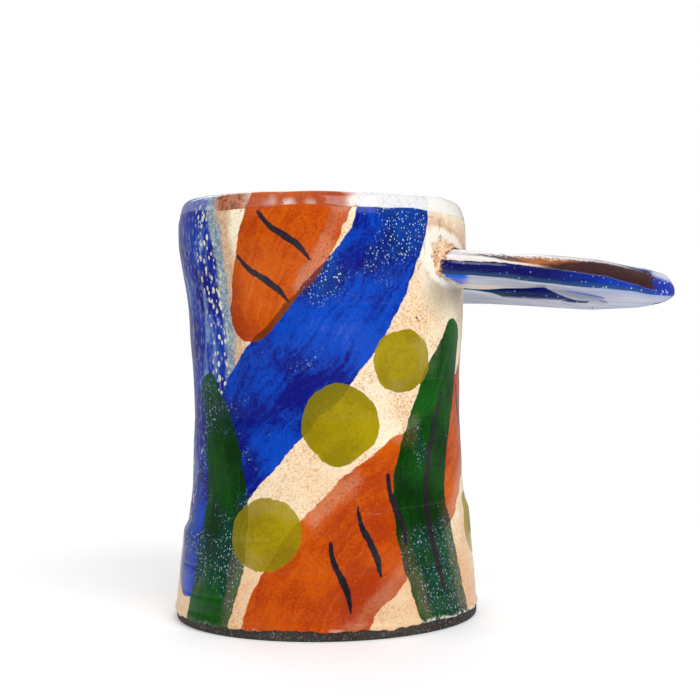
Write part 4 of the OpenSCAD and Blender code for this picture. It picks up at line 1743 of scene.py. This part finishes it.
    def mark(self, piece: bpy.types.Object) -> None:
        """Give the vertices their place in the loop's section, for the glaze.

        Args:
            piece: A strap or the blade.
        """
        points = vertices(piece)
        x, y, z = points.T
        along = x - self.grip_x
        t = np.clip(along / self.reach, 0, 1)
        level = (z - self.middle_z(y, t)) / self.half_thick(t)
        level = np.where(level < 0, level / (1 + self.sag(y, t) / self.half_thick(t)), level)
        past_slot = np.abs(y) - self.half_slot(t)
        # On the far arm the blue reaches round the slot's edge, and at the wall the pale underside does
        level += (0.3 * smooth_step(2.4, 1.0, past_slot) * (y > 0) * (level < -0.8)
                  * smooth_step(8, 16, along) * smooth_step(36, 33, along))
        level -= 0.24 * (y > 0) * (past_slot < 3) * (level < -0.2) * smooth_step(12, 2, along)
        inward = self.half_out(t) - np.abs(y)
        write_values(piece, "section", np.stack([level, inward, along], axis=1))
        slot_side = smooth_step(1.2, 0.5, past_slot) * (along < self.slot_l + 0.5)
        top = smooth_lookup(t, self.band_top)
        write_values(piece, "band", np.where(slot_side > 0.5, 0.9, top))
        # Worn glaze under the near arm along the slot, and a painted highlight in a line over the blue band
        wide = 4.6 - 3.6 * smooth_step(5, 17, along) + 0.4 * np.sin(1.9 * along) * np.sin(0.8 * along)
        under_edge = smooth_step(0.3, 0, past_slot - wide) * (level < -0.75) * (y < 0)
        highlight_over_band = smooth_step(0.11, 0.05, np.abs(level - top - 0.1)) * (inward < 3.5)
        write_values(piece, "worn", np.maximum(under_edge * smooth_step(35, 28, along),
                                               highlight_over_band * smooth_step(22, 13, along)))
        write_values(piece, "off_wall", x - self.wall_x(y, z))
        down_leaf = (along - self.leaf_ends[0]) / (self.leaf_ends[1] - self.leaf_ends[0])
        leaf_y = self.leaf_sides[0] + down_leaf * (self.leaf_sides[1] - self.leaf_sides[0])
        in_leaf = smooth_step(0.02, 0.12, down_leaf) * smooth_step(1, 0.92, down_leaf) * (level < -0.8)
        full = np.sin(math.pi * np.clip(down_leaf, *self.smear_shares)) ** self.smear_power
        beside = (y - leaf_y) / (self.leaf_half_w * full)
        write_values(piece, "leaf", np.stack([beside, down_leaf, in_leaf], axis=1))
        from_mark = np.hypot(*((at - middle) / half for at, middle, half in zip((along, y), self.mark_at,
                                                                                self.mark_half)))
        write_values(piece, "dark_mark", smooth_step(1.1, 0.7, from_mark) * (level < -0.5))

    def luting(self, name: str, side: int, seed: int) -> bpy.types.Object:
        """Rough clay pressed round a root, hollowed from the wall to the arm.

        Args:
            name: Name of the piece.
            side: -1 for the near arm, 1 for the far one.
            seed: Seed of its lumps.

        Returns:
            The piece.
        """
        section = rounded_loop(self.half_section(side, 0.0)[None], self.luting_corner_r, steps=8, runs=8)[0]
        centre = section.mean(axis=0)
        turn = np.linspace(0, 1, len(section), endpoint=False)
        half = np.abs(section - centre).max(axis=0)
        rings = []
        for step in np.linspace(-0.12, 1.0, 18):
            climb, spread = 1 - math.cos(max(step, 0) * math.pi / 2), 1 - math.sin(step * math.pi / 2)
            level = np.full_like(turn, max(step, 0))
            lump = 1
            for i, (cells, size) in enumerate(self.lumps):
                lump = lump + size * lattice_noise(turn, level, cells, seed + i)
            low = np.where(section[:, 1] < centre[1], self.luting_below, 1.0)
            away = (section - centre) / half * self.luting_w * (spread * lump * low)[:, None]
            wide = section + away - (section - centre) / half * self.luting_tuck * (step > 0.95)
            x = self.wall_x(wide[:, 0], wide[:, 1]) + self.luting_l * climb * (0.8 + 0.2 * lump)
            rings.append(np.column_stack([x + min(step, 0) * 2, wide]))
        return grid_mesh(name, np.stack(rings))

    def build(self) -> None:
        """Build and dress the loop."""
        tongue = self.smear(self.leaf_ends, self.leaf_sides, self.leaf_half_w, self.leaf_half_t,
                            self.leaf_drop)
        joint = self.smear(self.joint_ends, self.joint_sides, self.joint_half_w, self.joint_half_t,
                           self.joint_drop)
        near = [self.strap(-1, self.slot_l + 5), self.blade(self.slot_l), tongue]
        far = [self.strap(1, self.slot_l + 0.1), joint]
        glaze = HandleGlaze(self.effects).material()
        for name, tubes, node in (("near_strap_and_blade", near, "near_arm"), ("far_strap", far, "far_arm")):
            piece = self.melt(name, tubes)
            self.mark(piece)
            dress(piece, glaze, node)
        rough = BareClay(self.effects, "rough_clay", light=srgb(252, 212, 170), warm=srgb(216, 132, 74),
                         sand=1.5, relief=0.42, cracked=1.0).material()
        for arm, side, seed in (("near", -1, 61), ("far", 1, 67)):
            dress(self.luting(f"{arm}_root_clay", side, seed), rough, f"{arm}_luting")

    def root_place(self, side: int, seed: int) -> RootPlace:
        """Where an arm's root lies on the wall.

        Args:
            side: -1 for the near arm, 1 for the far one.
            seed: Seed of the blot's edge.

        Returns:
            The root's place, with the bare clay round it.
        """
        section = self.half_section(side, 0.0)
        middle = section.mean(axis=0)
        return RootPlace(
            angle=math.degrees(math.asin(middle[0] / self.shape.mouth_r)), height=middle[1],
            half_turn=self.arm_w / 2 * 1.25 + self.luting_w * 0.4,
            half_height=self.arm_t / 2 + self.luting_w * 0.7, half_below=self.arm_t / 2 + 0.3,
            tilt=-self.arm_tilt * 1.25, seed=seed)


# Light, table and camera

@dataclass(frozen=True)
class Lamp:
    """A soft rectangular light."""

    name: str
    place: tuple[float, float, float]
    aim: tuple[float, float, float]
    size: tuple[float, float]
    watts: float
    colour: tuple[float, float, float] = (1, 1, 1)

    def build(self) -> None:
        """Add the light to the scene."""
        data = bpy.data.lights.new(self.name, "AREA")
        data.shape, data.size, data.size_y = "RECTANGLE", *(s * MM for s in self.size)
        data.energy, data.color = self.watts, self.colour
        lamp = added(self.name, data)
        place = np.array(self.place)
        way = np.array(self.aim) - place
        way = way / np.linalg.norm(way)
        side = np.cross(way, (0, 0, 1))
        side = side / np.linalg.norm(side)
        up = np.cross(side, way)
        turn = Matrix((side, up, -way)).transposed().to_4x4()
        lamp.matrix_world = Matrix.Translation(place * MM) @ turn


@dataclass(frozen=True)
class Studio:
    """A pale table under soft light, and the photograph's camera."""

    distance: float = 349
    eye: float = 66.15
    focal_px: float = 1319
    frame_px: float = 700
    yaw: float = 1.152
    pitch: float = 0.435
    roll: float = 0.8
    table_side: float = 1100
    table_back: float = 164
    light_all_round: float = 0.5
    gloss_all_round: float = 0.36
    lift: float = 0.2
    lamps: tuple[Lamp, ...] = (
        Lamp("key", (340, -600, 660), (0, 0, 60), (520, 520), 4.4),
        Lamp("fill", (-640, -300, 420), (0, 0, 60), (500, 500), 0.8),
        Lamp("back", (-60, 520, 520), (20, 0, 80), (600, 300), 1.2),
    )

    def camera(self) -> None:
        """Place the camera. It turns a little instead of shifting its lens."""
        data = bpy.data.cameras.new("camera")
        data.sensor_width = 36
        data.lens = self.focal_px / self.frame_px * data.sensor_width
        data.clip_start = 0.01
        camera = added("camera", data)
        camera.matrix_world = (
            Matrix.Translation((0, -self.distance * MM, self.eye * MM))
            @ Matrix.Rotation(math.radians(-self.yaw), 4, "Z")
            @ Matrix.Rotation(math.radians(90 + self.pitch), 4, "X")
            @ Matrix.Rotation(math.radians(-self.roll), 4, "Z"))
        bpy.context.scene.camera = camera

    def table(self) -> None:
        """Lay the pale table."""
        side, back = self.table_side, self.table_back
        outline = np.array([(-side, -side, 0), (side, -side, 0), (side, back, 0), (-side, back, 0)], float)
        middle = outline.mean(axis=0)
        rings = np.stack([middle + (outline - middle) * s for s in (0.5, 1)])
        floor = grid_mesh("table", rings, caps=(True, False))
        material = bpy.data.materials.new("pale_table")
        tree = cleared(material)
        tone = tree.mix(tree.noise(0.02, 2), srgb(250, 250, 251), srgb(246, 247, 249))
        shader = tree.made("ShaderNodeBsdfPrincipled", {"Base Color": tone, "Roughness": 0.6, "IOR": 1.3})
        seen = tree.made("ShaderNodeLightPath", output="Is Camera Ray")
        glow = tree.made("ShaderNodeEmission", {"Strength": seen * self.lift})
        both = tree.made("ShaderNodeAddShader", {0: shader, 1: glow})
        tree.node("ShaderNodeOutputMaterial", {"Surface": both})
        floor.data.materials.append(material)

    def sky(self) -> None:
        """Light the scene from all round, and show white behind it."""
        world = bpy.data.worlds.new("studio")
        tree = cleared(world)
        glossy, seen, through = (tree.made("ShaderNodeLightPath", output=f"Is {ray} Ray")
                                 for ray in ("Glossy", "Camera", "Transmission"))
        strength = glossy.rise(0.0, 1.0, self.light_all_round, self.gloss_all_round)
        strength = seen.most(through).rise(0.0, 1.0, strength, 1.0)
        back = tree.made("ShaderNodeBackground", {"Color": (1, 1, 1, 1), "Strength": strength})
        tree.node("ShaderNodeOutputWorld", {"Surface": back})
        bpy.context.scene.world = world

    def build(self) -> None:
        """Build everything that isn't the mug."""
        self.camera()
        self.table()
        self.sky()
        for lamp in self.lamps:
            lamp.build()
        bpy.context.scene.view_settings.view_transform = "Standard"


def main() -> None:
    """Build the scene in order, and report each piece."""
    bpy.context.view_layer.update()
    Studio().build()
    effects = Effects()
    shape = ClayShape.from_frame()
    handle = LoopHandle(shape, effects)
    Vessel(shape, brushed_design(), effects, (handle.root_place(-1, 71), handle.root_place(1, 83))).build()
    handle.build()


if __name__ == "__main__":
    main()
